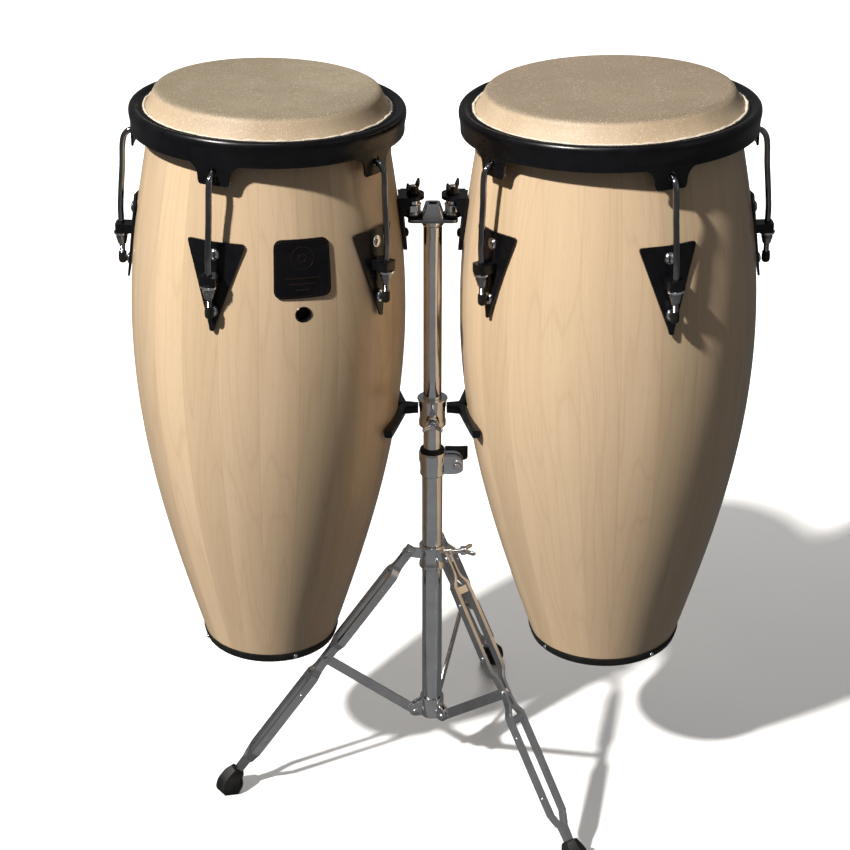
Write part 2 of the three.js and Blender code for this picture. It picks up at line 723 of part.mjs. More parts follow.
function addStand(parent) {
  addPiece(parent, 'upper_tube', upperTube(), 'chrome');
  addPiece(parent, 'lower_tube', lowerTube(), 'chrome');
  addPiece(parent, 'height_clamp', heightClamp(), 'chrome');
  addPiece(parent, 'cradle', cradle(), 'blackRubber');
  addPiece(parent, 'leg_collar', legCollar(), 'chrome');
  addPiece(parent, 'hub', hub(), 'chrome');
  const clampScrew = wingScrew(26, SCREW.clampRadius, SCREW.clampSpan)
    .translate(-12, 0, 0)
    .rotateZ(Math.PI / 2)
    .translate(CLAMP.boltX, 0, CLAMP.boltHeight);
  addPiece(parent, 'clamp_wing_screw', clampScrew, 'chrome');
  const cradleScrew = wingScrew(12, SCREW.radius, SCREW.span)
    .translate(CRADLE.radius + 0.5, 0, 0)
    .rotateZ(-Math.PI / 2)
    .translate(0, 0, CRADLE.bottom + SCREW.cradleRise);
  addPiece(parent, 'cradle_wing_screw', cradleScrew, 'chrome');
  const collarScrew = wingScrew(26, SCREW.radius, SCREW.span)
    .translate(COLLAR.radius - 2, 0, COLLAR.screwHeight)
    .rotateZ(THREE.MathUtils.degToRad(COLLAR.screwAzimuth));
  addPiece(parent, 'collar_wing_screw', collarScrew, 'chrome');
  for (const [place, angle] of Object.entries(LINK.angles)) {
    addPiece(parent, `${place}_leg`, leg(angle), 'chrome');
    addPiece(parent, `${place}_brace`, brace(angle), 'chrome');
    addPiece(parent, `${place}_foot`, foot(angle), 'blackRubber');
  }
}

const congas = new THREE.Group();
addStand(congas);
addDrum(congas, QUINTO);
addDrum(congas, CONGA);

// The origin goes under the middle of the bounding box, on the floor.
const bounds = new THREE.Box3().setFromObject(congas, true);
const middle = bounds.getCenter(new THREE.Vector3());
congas.position.set(-middle.x, -middle.y, -bounds.min.z);

export default congas;
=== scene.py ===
# Looks of a pair of conga drums on one folding double stand.
# Shapes are drawn in millimetres about the stand's pole, +Z up, and become metres in piece().
# An azimuth is in degrees: 0 faces the player's side (-Y) and positive turns towards +X.

import math
import random

import bmesh
import bpy
from mathutils import Matrix, Vector
from mathutils.geometry import delaunay_2d_cdt


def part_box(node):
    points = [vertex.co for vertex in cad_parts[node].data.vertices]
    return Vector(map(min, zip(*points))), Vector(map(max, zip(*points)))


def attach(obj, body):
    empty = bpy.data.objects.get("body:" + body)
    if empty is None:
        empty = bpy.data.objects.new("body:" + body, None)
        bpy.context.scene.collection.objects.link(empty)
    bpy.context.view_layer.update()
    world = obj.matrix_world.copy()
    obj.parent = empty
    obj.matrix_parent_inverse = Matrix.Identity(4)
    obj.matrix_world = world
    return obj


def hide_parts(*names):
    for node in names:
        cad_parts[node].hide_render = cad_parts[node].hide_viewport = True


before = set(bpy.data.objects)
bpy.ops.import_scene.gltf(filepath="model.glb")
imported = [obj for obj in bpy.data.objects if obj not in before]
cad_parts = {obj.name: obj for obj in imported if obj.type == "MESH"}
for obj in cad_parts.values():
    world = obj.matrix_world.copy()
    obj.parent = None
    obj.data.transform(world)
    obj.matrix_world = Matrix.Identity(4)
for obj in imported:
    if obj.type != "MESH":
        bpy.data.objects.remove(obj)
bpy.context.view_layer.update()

MM = 0.001
POLE_AT = sum(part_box("upper_tube"), Vector()) / 2
STAND = Matrix.Translation((POLE_AT.x / MM, POLE_AT.y / MM, 0))

DRUM_HEIGHT = 711
BELLY_HEIGHT = 430
SHELL_TOP = 700
SHELL_BOTTOM = 3.8
WALL = 10
LEAN = math.radians(1.8)
CLEARANCE = 218.5
DRUM_GAP = 34.5
VENT = {"height": 498, "radius": 8.5}
DRUMS = {
    "quinto": {"side": -1, "top": 127, "belly": 161, "foot": 80.5, "rim": 156, "staves": 22, "screw": 25},
    "conga": {"side": 1, "top": 139.7, "belly": 174, "foot": 90, "rim": 170, "staves": 24, "screw": -55},
}
# metres: the heights between which a skin's colour turns to its paler skirt (partly the skin's own tone, partly
# painted light), and a seam's half width
SKIN_PALE_AND_LIGHT_HEIGHTS = (0.7055, 0.7104)
SEAM = 0.0011
RIM_BEAD = 685
HOOK_OUT = 14.5
ROD = 3.5
LUG_TURN = 72
LUG_CENTRE = 531
LUG_HEIGHT = 94
LUG_RIDGE = 5
LUG_BOLTS = (33, -30.5)
RECEIVER = (534, 544.5)
STUD_X = 22.7
STUD_TOP = 813
SHELF = 803
CROSSBAR_TOP = 776
CRADLE_AT = 531
CRADLE_SPREAD = 66
LEG_ANGLES = {"left": 190.9, "front": 310.9, "rear": 70.9}
COLLAR_PIVOT = (31.4, 333.5)
FOOT_POINT = (280.8, 0)
HUB_PIVOT = (22.4, 93)
MID_PIVOT = (139.7, 188.6)
RAIL_LENGTH = 378
PIVOT_HOLE = 3.4


# ---------- camera and lamps ----------

CAMERA_AT = (-0.0225, -2.0267, 1.4815)
CAMERA_DOWN = 25.95
CAMERA_LENS = 77.4
LAMP_TARGET = Vector((0, 0, 0.6))
SKY_LOW, SKY_HIGH = (0.42, 0.41, 0.40), (0.66, 0.66, 0.67)
SKY_STRENGTH = 0.24
FLOOR_HALF = 30


def linked(name, data):
    made = bpy.data.objects.new(name, data)
    bpy.context.scene.collection.objects.link(made)
    return made


def add_camera():
    camera = linked("camera", bpy.data.cameras.new("camera"))
    camera.data.sensor_width = 36
    camera.data.lens = CAMERA_LENS
    camera.data.clip_start = 0.05
    camera.location = CAMERA_AT
    camera.rotation_euler = (math.radians(90 - CAMERA_DOWN), 0, 0)
    bpy.context.scene.camera = camera


def toward(azimuth, elevation):
    turn, rise = math.radians(azimuth), math.radians(elevation)
    return Vector((math.sin(turn) * math.cos(rise), -math.cos(turn) * math.cos(rise), math.sin(rise)))


def add_lamp(name, kind, back, power, colour, **settings):
    light = bpy.data.lights.new(name, kind)
    light.energy = power
    light.color = colour
    for key, value in settings.items():
        setattr(light, key, value)
    lamp = linked(name, light)
    lamp.location = LAMP_TARGET + back
    lamp.rotation_mode = "QUATERNION"
    lamp.rotation_quaternion = back.to_track_quat("Z", "Y")
    return lamp


def add_card(name, back, power, colour, **settings):
    """A soft light that only shows in gloss and metal, as a studio's reflector card does."""
    card = add_lamp(name, "AREA", back, power, colour, **settings)
    card.visible_diffuse = False
    card.visible_camera = False
    return card


add_camera()


# ---------- node trees and materials ----------

class Nodes:
    """A node tree; an input is given as a socket to link or as a plain value."""

    def __init__(self, tree):
        self.tree = tree

    def node(self, kind, inputs, out=0, **settings):
        made = self.tree.nodes.new("ShaderNode" + kind)
        for key, value in settings.items():
            setattr(made, key, value)
        for key, value in inputs.items():
            if isinstance(value, bpy.types.NodeSocket):
                self.tree.links.new(value, made.inputs[key])
            else:
                made.inputs[key].default_value = value
        return made.outputs[out]

    def coordinates(self, kind="Object"):
        return self.node("TexCoord", {}, out=kind)

    def part(self, vector, axis):
        return self.node("SeparateXYZ", {"Vector": vector}, out=axis)

    def noise(self, vector, scale, detail=3.0, roughness=0.55):
        inputs = {"Vector": vector, "Scale": scale, "Detail": detail, "Roughness": roughness}
        return self.node("TexNoise", inputs, out="Fac")

    def math(self, operation, *values):
        return self.node("Math", dict(enumerate(values)), operation=operation)

    def ramp(self, factor, *stops):
        made = self.tree.nodes.new("ShaderNodeValToRGB")
        elements = made.color_ramp.elements
        while len(elements) < len(stops):
            elements.new(0.5)
        for element, (position, colour) in zip(elements, stops):
            element.position = position
            element.color = (*colour, 1)
        self.tree.links.new(factor, made.inputs["Fac"])
        return made.outputs["Color"]

    def mask(self, factor, start, end, peak):
        """Nothing up to start, then rising to peak at end."""
        return self.ramp(factor, (start, grey(0.0)), (end, grey(peak)))

    def mix(self, factor, first, second, blend="MIX"):
        inputs = {"Fac": factor, "Color1": first, "Color2": second}
        return self.node("MixRGB", inputs, blend_type=blend)

    def paint(self, base, mask, colour):
        """The base with a plain colour laid over it as strongly as the mask says."""
        return self.mix(mask, base, (*colour, 1))

    def span(self, value, low, high):
        """The value, from 0..1, moved to low..high."""
        return self.node("MapRange", {"Value": value, "To Min": low, "To Max": high})


class Shader(Nodes):
    """A Principled material whose varying inputs come from nodes."""

    def __init__(self, name, **constants):
        self.material = bpy.data.materials.new(name)
        self.material.use_nodes = True
        super().__init__(self.material.node_tree)
        self.surface = self.tree.nodes["Principled BSDF"]
        for key, value in constants.items():
            self.surface.inputs[key.replace("_", " ")].default_value = value

    def drive(self, colour, roughness=None, height=None, strength=0.3, distance=0.0005):
        self.tree.links.new(colour, self.surface.inputs["Base Color"])
        if roughness is not None:
            self.tree.links.new(roughness, self.surface.inputs["Roughness"])
        if height is not None:
            inputs = {"Height": height, "Strength": strength, "Distance": distance}
            bump = self.node("Bump", inputs, out="Normal")
            self.tree.links.new(bump, self.surface.inputs["Normal"])
        return self.material


def add_world():
    world = bpy.data.worlds.new("studio")
    bpy.context.scene.world = world
    world.use_nodes = True
    sky = Nodes(world.node_tree)
    up = sky.part(sky.coordinates("Generated"), "Z")
    background = sky.tree.nodes["Background"]
    background.inputs["Strength"].default_value = SKY_STRENGTH
    sky.tree.links.new(sky.ramp(up, (0.0, SKY_LOW), (0.8, SKY_HIGH)), background.inputs["Color"])


def grey(value):
    return (value, value, value)


def wood(name, staves, width):
    """Glued staves of pale hardwood under clear gloss. UV: share of the turn, height in metres."""
    s = Shader(name, Coat_Weight=0.35, Coat_Roughness=0.12, Specular_IOR_Level=0.5)
    uv = s.coordinates("UV")
    turn, height = s.part(uv, "X"), s.part(uv, "Y")
    along = s.math("MULTIPLY", turn, float(staves))
    stave = s.math("FLOOR", along)
    within = s.math("SUBTRACT", along, stave)
    luck = s.node("TexWhiteNoise", {"W": stave}, out="Value", noise_dimensions="1D")
    luck_colour = s.node("TexWhiteNoise", {"W": stave}, out="Color", noise_dimensions="1D")
    across = s.math("MULTIPLY", s.math("ADD", within, s.math("MULTIPLY", luck, 37.0)), width)
    up = s.math("ADD", height, s.math("MULTIPLY", luck, 9.0))
    point = s.node("CombineXYZ", {"X": across, "Y": up, "Z": stave})

    def stretched(x, y):
        return s.node("Mapping", {"Vector": point, "Scale": (x, y, 1.0)})

    figure = s.noise(stretched(13.0, 1.5), 1.0, 2.0, 0.4)
    rings = s.math("PINGPONG", s.math("MULTIPLY", figure, 15.0), 0.5)
    rings = s.math("MULTIPLY", rings, 2.0)
    fine = s.noise(stretched(900.0, 9.0), 1.0, 3.0, 0.6)
    fibre = s.noise(stretched(260.0, 3.5), 1.0, 3.0, 0.6)
    drift = s.noise(stretched(20.0, 2.0), 1.0, 2.0, 0.5)
    pores = s.noise(stretched(1500.0, 45.0), 1.0, 1.0, 0.4)

    light, middle, deep = (0.705, 0.543, 0.362), (0.622, 0.460, 0.294), (0.475, 0.330, 0.195)
    base = s.ramp(drift, (0.30, light), (0.55, (0.668, 0.505, 0.332)), (0.80, middle))
    base = s.paint(base, s.ramp(rings, (0.0, grey(0.30)), (0.22, grey(0.06)), (1.0, grey(0.0))), deep)
    base = s.paint(base, s.mask(fibre, 0.35, 0.75, 0.36), middle)
    base = s.paint(base, s.mask(fine, 0.45, 0.75, 0.28), deep)
    tone = s.ramp(luck, (0.0, (0.90, 0.89, 0.88)), (0.5, (0.97, 0.965, 0.96)), (1.0, (1.02, 1.01, 1.0)))
    base = s.mix(1.0, base, tone, "MULTIPLY")
    base = s.mix(0.012, base, luck_colour, "OVERLAY")
    base = s.paint(base, s.mask(pores, 0.66, 0.74, 0.35), (0.36, 0.23, 0.13))
    edge = s.math("MULTIPLY", s.math("MINIMUM", within, s.math("SUBTRACT", 1.0, within)), width / SEAM)
    seam = s.math("MINIMUM", edge, 1.0)
    base = s.paint(base, s.math("MULTIPLY", s.math("SUBTRACT", 1.0, seam), 0.35), deep)
    gloss = s.span(fibre, 0.24, 0.36)
    relief = s.math("ADD", s.math("MULTIPLY", fine, 0.25), s.math("MULTIPLY", seam, 0.25))
    return s.drive(base, gloss, relief, 0.18, 0.0003)


def rawhide(name, light, dark, mottle, skirt=None):
    """Skin; with a skirt colour pair it pales from the flat top (UV height) down over the edge, partly its own tone
    and partly painted light.
    """
    s = Shader(name, Specular_IOR_Level=0.35)
    here = s.coordinates()
    clouds = s.noise(here, 9.0, 4.0, 0.6)
    stains = s.noise(here, 30.0, 5.0, 0.7)
    fleck = s.noise(here, 330.0, 3.0, 0.75)
    specks = s.noise(here, 700.0, 2.0, 0.6)
    grain = s.noise(here, 1300.0, 2.0, 0.6)
    base = s.ramp(clouds, (0.32, light), (0.68, dark))
    if skirt:
        height = s.part(s.coordinates("UV"), "Y")
        limits = {"Value": height, "From Min": SKIN_PALE_AND_LIGHT_HEIGHTS[0], "From Max": SKIN_PALE_AND_LIGHT_HEIGHTS[1]}
        share = s.node("MapRange", limits, interpolation_type="SMOOTHSTEP")
        # the skirt colours are paler than the top's: partly the skin's own tone, partly painted light on the sloped
        # skirt
        side = s.ramp(clouds, (0.32, skirt[0]), (0.68, skirt[1]))
        base = s.mix(share, side, base)
        mottle = s.span(share, 0.12, mottle)
    base = s.paint(base, s.math("MULTIPLY", s.mask(stains, 0.50, 0.70, 1.0), mottle), (0.20, 0.165, 0.11))
    base = s.paint(base, s.mask(fleck, 0.52, 0.70, 0.38), (0.36, 0.25, 0.15))
    base = s.paint(base, s.mask(specks, 0.58, 0.70, 0.55), (0.86, 0.78, 0.64))
    base = s.paint(base, s.ramp(grain, (0.30, grey(0.3)), (0.50, grey(0.0))), (0.30, 0.23, 0.15))
    relief = s.math("ADD", s.math("MULTIPLY", grain, 0.5), specks)
    return s.drive(base, s.span(stains, 0.42, 0.62), relief, 0.45, 0.0004)


def black_coat(name, roughness=0.26):
    s = Shader(name, Specular_IOR_Level=0.33)
    here = s.coordinates()
    peel = s.noise(here, 420.0, 2.0, 0.5)
    dust = s.noise(here, 34.0, 4.0, 0.6)
    base = s.ramp(dust, (0.35, (0.0022, 0.0022, 0.003)), (0.75, (0.006, 0.006, 0.008)))
    return s.drive(base, s.span(dust, roughness - 0.06, roughness + 0.10), peel, 0.06, 0.0003)


def rubber(name):
    s = Shader(name, Specular_IOR_Level=0.35)
    here = s.coordinates()
    dust = s.noise(here, 60.0, 4.0, 0.6)
    grain = s.noise(here, 900.0, 2.0, 0.5)
    base = s.ramp(dust, (0.35, (0.003, 0.003, 0.003)), (0.80, (0.012, 0.012, 0.011)))
    return s.drive(base, s.span(dust, 0.40, 0.62), grain, 0.25, 0.0003)


def bright_metal(name, light, dark, smooth, rough):
    s = Shader(name, Metallic=1.0)
    here = s.coordinates()
    smudge = s.noise(here, 30.0, 4.0, 0.6)
    pits = s.noise(here, 700.0, 2.0, 0.5)
    base = s.ramp(smudge, (0.30, light), (0.75, dark))
    base = s.paint(base, s.mask(pits, 0.68, 0.76, 0.4), (0.20, 0.17, 0.14))
    return s.drive(base, s.span(smudge, smooth, rough), pits, 0.03, 0.0002)


def plain_floor():
    s = Shader("floor", Specular_IOR_Level=0.2)
    dust = s.noise(s.coordinates(), 3.0, 3.0)
    return s.drive(s.ramp(dust, (0.3, grey(0.86)), (0.7, grey(0.89))), s.span(dust, 0.6, 0.7))


def plain_backdrop():
    s = Shader("backdrop", Emission_Strength=1.0, Specular_IOR_Level=0.0)
    tone = s.ramp(s.noise(s.coordinates(), 0.2, 2.0), (0.3, grey(0.93)), (0.7, grey(0.97)))
    s.tree.links.new(tone, s.surface.inputs["Emission Color"])
    s.material.cycles.emission_sampling = "NONE"
    return s.drive(s.ramp(tone, (0.0, grey(0.0)), (1.0, grey(0.001))))


# skirt colours paler than the flat tops': partly the skin's own tone, partly painted light where light falls more
# squarely on the sloped skirt
SKIRT_TONE_AND_PAINTED_LIGHT = ((0.535, 0.428, 0.303), (0.446, 0.334, 0.218))
SKINS = {
    "quinto": rawhide("quinto_rawhide", (0.265, 0.224, 0.163), (0.190, 0.156, 0.107), 0.70, SKIRT_TONE_AND_PAINTED_LIGHT),
    "conga": rawhide("conga_rawhide", (0.228, 0.182, 0.131), (0.188, 0.148, 0.104), 0.35, SKIRT_TONE_AND_PAINTED_LIGHT),
}
FRAY = rawhide("rawhide_edge", (0.74, 0.69, 0.60), (0.60, 0.53, 0.43), 0.10)
BLACK = black_coat("black_steel")
GLOSS_BLACK = black_coat("black_enamel", 0.16)
RUBBER = rubber("black_rubber")
CHROME = bright_metal("chrome", (0.93, 0.94, 0.96), (0.74, 0.75, 0.78), 0.07, 0.16)
# a darker copy of chrome for the hook rods: painted shade standing in for the dark reflections they show
ROD_CHROME_PAINTED_SHADE = bright_metal("rod_chrome_painted_shade", (0.36, 0.365, 0.39), (0.16, 0.16, 0.18), 0.07, 0.15)
PLATED = bright_metal("plated_steel", (0.84, 0.84, 0.86), (0.62, 0.62, 0.64), 0.16, 0.30)
DARK_PLATE = bright_metal("dark_plated_steel", (0.38, 0.38, 0.39), (0.24, 0.24, 0.25), 0.22, 0.36)
BADGE_LINE = bright_metal("badge_line", (0.085, 0.060, 0.055), (0.055, 0.040, 0.036), 0.34, 0.46)


# ---------- shapes: (vertices, faces, uvs) ----------

def steps(low, high, count):
    return [low + (high - low) * i / count for i in range(count + 1)]


def polar(angle, out, height):
    """The point at an angle from the player's side, a distance off the axis and a height."""
    return out * math.sin(angle), -out * math.cos(angle), height


def moved(shape, matrix):
    verts, faces, uvs = shape
    return [matrix @ v for v in verts], faces, uvs


def placed(shapes, matrix):
    return [moved(shape, matrix) for shape in shapes]


def bent(shape, rule):
    verts, faces, uvs = shape
    return [Vector(rule(*v)) for v in verts], faces, uvs


def lathe(profile, segments=64, closed=True):
    """Turns a profile of (radius, height) about +Z. UV: share of the turn, height in metres."""
    verts, rows = [], []
    for radius, height in profile:
        first = len(verts)
        if radius < 1e-6:
            rows.append([first] * segments)
            verts.append(Vector((0, 0, height)))
            continue
        rows.append(list(range(first, first + segments)))
        for i in range(segments):
            verts.append(Vector(polar(2 * math.pi * i / segments, radius, height)))
    faces, uvs = [], []
    last = len(profile) if closed else len(profile) - 1
    for k in range(last):
        after = (k + 1) % len(profile)
        for i in range(segments):
            j = (i + 1) % segments
            kept = {}
            for row, column, turn in ((k, i, i), (k, j, i + 1), (after, j, i + 1), (after, i, i)):
                kept.setdefault(rows[row][column], (turn / segments, profile[row][1] * MM))
            if len(kept) > 2:
                faces.append(list(kept))
                uvs.append(list(kept.values()))
    return verts, faces, uvs


def bands(levels, count):
    """The faces of a skin between rings of count vertices each."""
    faces = []
    for first in range(0, (levels - 1) * count, count):
        for i in range(count):
            j = (i + 1) % count
            faces.append([first + i, first + j, first + count + j, first + count + i])
    return faces


def capped(levels, count):
    last = (levels - 1) * count
    return [*bands(levels, count), list(range(count)), list(range(last, last + count))]


def stacked(rings, heights):
    """A skin over outlines of equally many points at rising or falling heights."""
    verts = [Vector((x, y, z)) for ring, z in zip(rings, heights) for x, y in ring]
    return verts, bands(len(rings), len(rings[0])), None


def disc(radius, low, high, edge=0.5, segments=32):
    """A solid cylinder with softened edges."""
    return lathe([
        (0, low), (radius - edge, low), (radius, low + edge),
        (radius, high - edge), (radius - edge, high), (0, high),
    ], segments, closed=False)


def hoop(inner, outer, low, high, edge=0.5, segments=48):
    return lathe([
        (inner, low), (outer - edge, low), (outer, low + edge),
        (outer, high - edge), (outer - edge, high), (inner, high),
    ], segments)


def dome(radius, rise, base=0.0, segments=24):
    """A domed bolt head on the plane z = base."""
    arc = [(radius * math.cos(a), base + 0.6 + rise * math.sin(a)) for a in steps(0, math.pi / 2, 6)]
    return lathe([(0, base), (radius, base), *arc[:-1], (0, base + 0.6 + rise)], segments, closed=False)


def smooth_line(points, count, closed=False):
    """Catmull-Rom points through the given ones."""
    points = [Vector(p) for p in points]
    total = len(points)
    spans = total if closed else total - 1
    made = []
    for k in range(spans):
        if closed:
            p0, p1, p2, p3 = (points[(k + i - 1) % total] for i in range(4))
        else:
            p1, p2 = points[k], points[k + 1]
            p0 = points[k - 1] if k else p1 * 2 - p2
            p3 = points[k + 2] if k + 2 < total else p2 * 2 - p1
        for i in range(count):
            t = i / count
            made.append(0.5 * (2 * p1 + (p2 - p0) * t + (2 * p0 - 5 * p1 + 4 * p2 - p3) * t**2
                               + (3 * p1 - p0 - 3 * p2 + p3) * t**3))
    return made if closed else [*made, points[-1]]


def sweep(path, radii, sides=16, squareness=0.0, flat=1.0):
    """A rod along a path; squareness turns its round section into a rounded square."""
    path = [Vector(p) for p in path]
    if not isinstance(radii, list):
        radii = [radii] * len(path)
    tangents = [(path[min(i + 1, len(path) - 1)] - path[max(i - 1, 0)]).normalized() for i in range(len(path))]
    side = tangents[0].orthogonal().normalized()
    if abs(tangents[0].z) < 0.9:
        side = Vector((0, 0, 1)) - tangents[0] * tangents[0].z
        side.normalize()
    verts = []
    for centre, tangent, radius in zip(path, tangents, radii):
        side = (side - tangent * side.dot(tangent)).normalized()
        other = tangent.cross(side)
        for k in range(sides):
            a = 2 * math.pi * (k + 0.5) / sides
            x, y = math.cos(a), math.sin(a)
            grow = 1 + squareness * (1 / max(abs(x), abs(y)) - 1)
            verts.append(centre + (side * x * grow + other * y * grow * flat) * radius)
    return verts, capped(len(path), sides), None


def prism(outline, low, high):
    count = len(outline)
    verts = [Vector((x, y, z)) for z in (low, high) for x, y in outline]
    faces = [list(range(count)), list(range(count, 2 * count))]
    for i in range(count):
        j = (i + 1) % count
        faces.append([i, j, count + j, count + i])
    return verts, faces, None


def block(x, y, z):
    return prism([(x[0], y[0]), (x[1], y[0]), (x[1], y[1]), (x[0], y[1])], *z)


def circle(x, y, radius, count=20, stretch=1.0):
    turns = [2 * math.pi * i / count for i in range(count)]
    return [(x + radius * math.cos(a), y + stretch * radius * math.sin(a)) for a in turns]


def rounded(corners, count=5):
    """An outline of (x, y, radius) corners with each corner rounded."""
    made = []
    for i, (x, y, radius) in enumerate(corners):
        here = Vector((x, y))
        before = Vector(corners[i - 1][:2]) - here
        after = Vector(corners[(i + 1) % len(corners)][:2]) - here
        reach = min(radius, before.length / 2.02, after.length / 2.02)
        start, end = here + before.normalized() * reach, here + after.normalized() * reach
        if reach < 0.05:
            made.append((x, y))
            continue
        for t in steps(0, 1, count):
            point = start * (1 - t) ** 2 + here * 2 * t * (1 - t) + end * t**2
            made.append(tuple(point))
    return made


def hexagon(radius, corner, turn=0):
    turns = [math.radians(60 * i + turn) for i in range(6)]
    return rounded([(radius * math.cos(a), radius * math.sin(a), corner) for a in turns], 3)


def dense(outline, step):
    """The outline with points added so that no edge is longer than step."""
    made = []
    for i, start in enumerate(outline):
        start, end = Vector(start), Vector(outline[(i + 1) % len(outline)])
        count = max(1, math.ceil((end - start).length / step))
        made += [tuple(start.lerp(end, k / count)) for k in range(count)]
    return made


def inside(point, loop):
    crossings = 0
    for i, (x1, y1) in enumerate(loop):
        x0, y0 = loop[i - 1]
        if (y0 > point.y) != (y1 > point.y) and point.x < x0 + (x1 - x0) * (point.y - y0) / (y1 - y0):
            crossings += 1
    return crossings % 2 == 1


def sheet(outline, low, high, holes=(), grid=None):
    """A plate in XY from z = low to high, with holes, and inner points every grid for bending."""
    points, edges = [], []
    for loop in (outline, *holes):
        first = len(points)
        points += [Vector(p) for p in loop]
        edges += [(first + i, first + (i + 1) % len(loop)) for i in range(len(loop))]
    if grid:
        xs, ys = [p[0] for p in outline], [p[1] for p in outline]
        border = [Vector(p) for loop in (outline, *holes) for p in dense(loop, grid / 2)]
        for i in range(1, int((max(xs) - min(xs)) / grid) + 1):
            for j in range(1, int((max(ys) - min(ys)) / grid) + 1):
                inner = Vector((min(xs) + i * grid, min(ys) + j * grid))
                if min((inner - b).length for b in border) > grid * 0.5:
                    points.append(inner)
    flat, _, found, *_ = delaunay_2d_cdt(points, edges, [], 2, 1e-4)
    triangles = []
    for triangle in found:
        middle = sum((flat[i] for i in triangle), Vector((0, 0))) / 3
        if not any(inside(middle, hole) for hole in holes):
            triangles.append(triangle)
    count = len(flat)
    verts = [Vector((p.x, p.y, z)) for z in (low, high) for p in flat]
    faces, seen = [], {}
    for triangle in triangles:
        faces.append(list(triangle))
        faces.append([count + i for i in triangle])
        for a, b in zip(triangle, [*triangle[1:], triangle[0]]):
            key = (min(a, b), max(a, b))
            seen[key] = seen.get(key, 0) + 1
    faces += [[a, b, count + b, count + a] for (a, b), uses in seen.items() if uses == 1]
    return verts, faces, None


def facing(azimuth):
    """Stands up what is drawn in X (sideways), Y (up), Z (outward) at an azimuth."""
    return spin(azimuth, "Z") @ spin(90, "X")


def shift(x, y, z):
    return Matrix.Translation((x, y, z))


def spin(angle, axis):
    return Matrix.Rotation(math.radians(angle), 4, axis)


def face_outward(mesh):
    edit = bmesh.new()
    edit.from_mesh(mesh)
    bmesh.ops.recalc_face_normals(edit, faces=edit.faces)
    edit.to_mesh(mesh)
    edit.free()


def piece(name, layers, body, replaces=(), place=None, bevel=0.0, sharp=35.0):
    """Makes one object from [(material, [shape, ...]), ...], already in its final place."""
    verts, faces, uvs, slots = [], [], [], []
    mesh = bpy.data.meshes.new(name)
    matrix = STAND @ (place or Matrix())
    for index, (material, shapes) in enumerate(layers):
        mesh.materials.append(material)
        for shape_verts, shape_faces, shape_uvs in shapes:
            first = len(verts)
            verts += [(matrix @ v) * MM for v in shape_verts]
            faces += [[first + i for i in face] for face in shape_faces]
            uvs += shape_uvs or [[(0.0, 0.0)] * len(face) for face in shape_faces]
            slots += [index] * len(shape_faces)
    mesh.from_pydata(verts, [], faces)
    flat_uvs = [number for face in uvs for corner in face for number in corner]
    mesh.uv_layers.new(name="UVMap").data.foreach_set("uv", flat_uvs)
    mesh.polygons.foreach_set("material_index", slots)
    face_outward(mesh)
    mesh.polygons.foreach_set("use_smooth", [True] * len(mesh.polygons))
    mesh.set_sharp_from_angle(angle=math.radians(sharp))
    made = linked(name, mesh)
    if bevel:
        soften = made.modifiers.new("soften", "BEVEL")
        soften.width = bevel * MM
        soften.segments = 2
        soften.limit_method = "ANGLE"
        soften.angle_limit = math.radians(50)
        soften.harden_normals = True
    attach(made, body)
    if replaces:
        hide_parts(*replaces)
    return made


def carve(target, tool_shape, place):
    """Cuts a shape out of a finished piece and keeps the result as its mesh."""
    tool_mesh = bpy.data.meshes.new("tool")
    verts, faces, _ = tool_shape
    tool_mesh.from_pydata([(STAND @ place @ v) * MM for v in verts], [], faces)
    face_outward(tool_mesh)
    tool = linked("tool", tool_mesh)
    cutter = target.modifiers.new("cut", "BOOLEAN")
    cutter.operation = "DIFFERENCE"
    cutter.solver = "EXACT"
    cutter.object = tool
    evaluated = target.evaluated_get(bpy.context.evaluated_depsgraph_get())
    result = bpy.data.meshes.new_from_object(evaluated)
    target.modifiers.clear()
    target.data = result
    bpy.data.objects.remove(tool)


# ---------- drums ----------

def barrel(drum, z):
    if z <= BELLY_HEIGHT:
        return drum["foot"] + (drum["belly"] - drum["foot"]) * math.sin(math.pi / 2 * z / BELLY_HEIGHT)
    climb = (z - BELLY_HEIGHT) / (SHELL_TOP - BELLY_HEIGHT)
    return drum["top"] + (drum["belly"] - drum["top"]) * math.cos(math.pi / 2 * climb)


def drum_matrix(drum):
    middle = DRUM_HEIGHT / 2
    at = shift(drum["side"] * (DRUM_GAP + drum["belly"]), 0, CLEARANCE + middle)
    return at @ Matrix.Rotation(-drum["side"] * LEAN, 4, "Y") @ shift(0, 0, -middle)


def mount_azimuth(drum):
    return -90 * drum["side"]


def lug_azimuths(drum):
    return [mount_azimuth(drum) + LUG_TURN / 2 + LUG_TURN * i for i in range(5)]


def add_shell(name, drum, place):
    outside = [(barrel(drum, z), z) for z in steps(SHELL_BOTTOM, SHELL_TOP, 64)]
    top = drum["top"]
    edge = [(top - 0.8, 704), (top - 2.5, 707), (top - 5, 708), (top - 8, 706)]
    back = [(barrel(drum, z) - WALL, z) for z in steps(SHELL_TOP - 8, SHELL_BOTTOM, 24)]
    material = wood(f"{name}_wood", drum["staves"], 2 * math.pi * drum["belly"] * MM / drum["staves"])
    made = piece(f"{name}_staves", [(material, [lathe([*outside, *edge, *back], 160)])], "pole",
                 [f"{name}_shell"], place)
    azimuth = mount_azimuth(drum) - LUG_TURN
    seat = place @ facing(azimuth) @ shift(0, VENT["height"], 0)
    carve(made, disc(VENT["radius"], 100, 200, 0.1), seat)
    surface = barrel(drum, VENT["height"])
    section = [
        (7.5, -11), (8.4, -11), (8.4, -0.5), (9.1, -0.2), (9.4, 0.3), (9.0, 0.8), (8.2, 0.9), (7.6, 0.4), (7.5, -0.5),
    ]
    eyelet = lathe([(radius, surface + out) for radius, out in section], 32)
    piece(f"{name}_vent_eyelet", [(GLOSS_BLACK, [eyelet])], "pole", place=seat)


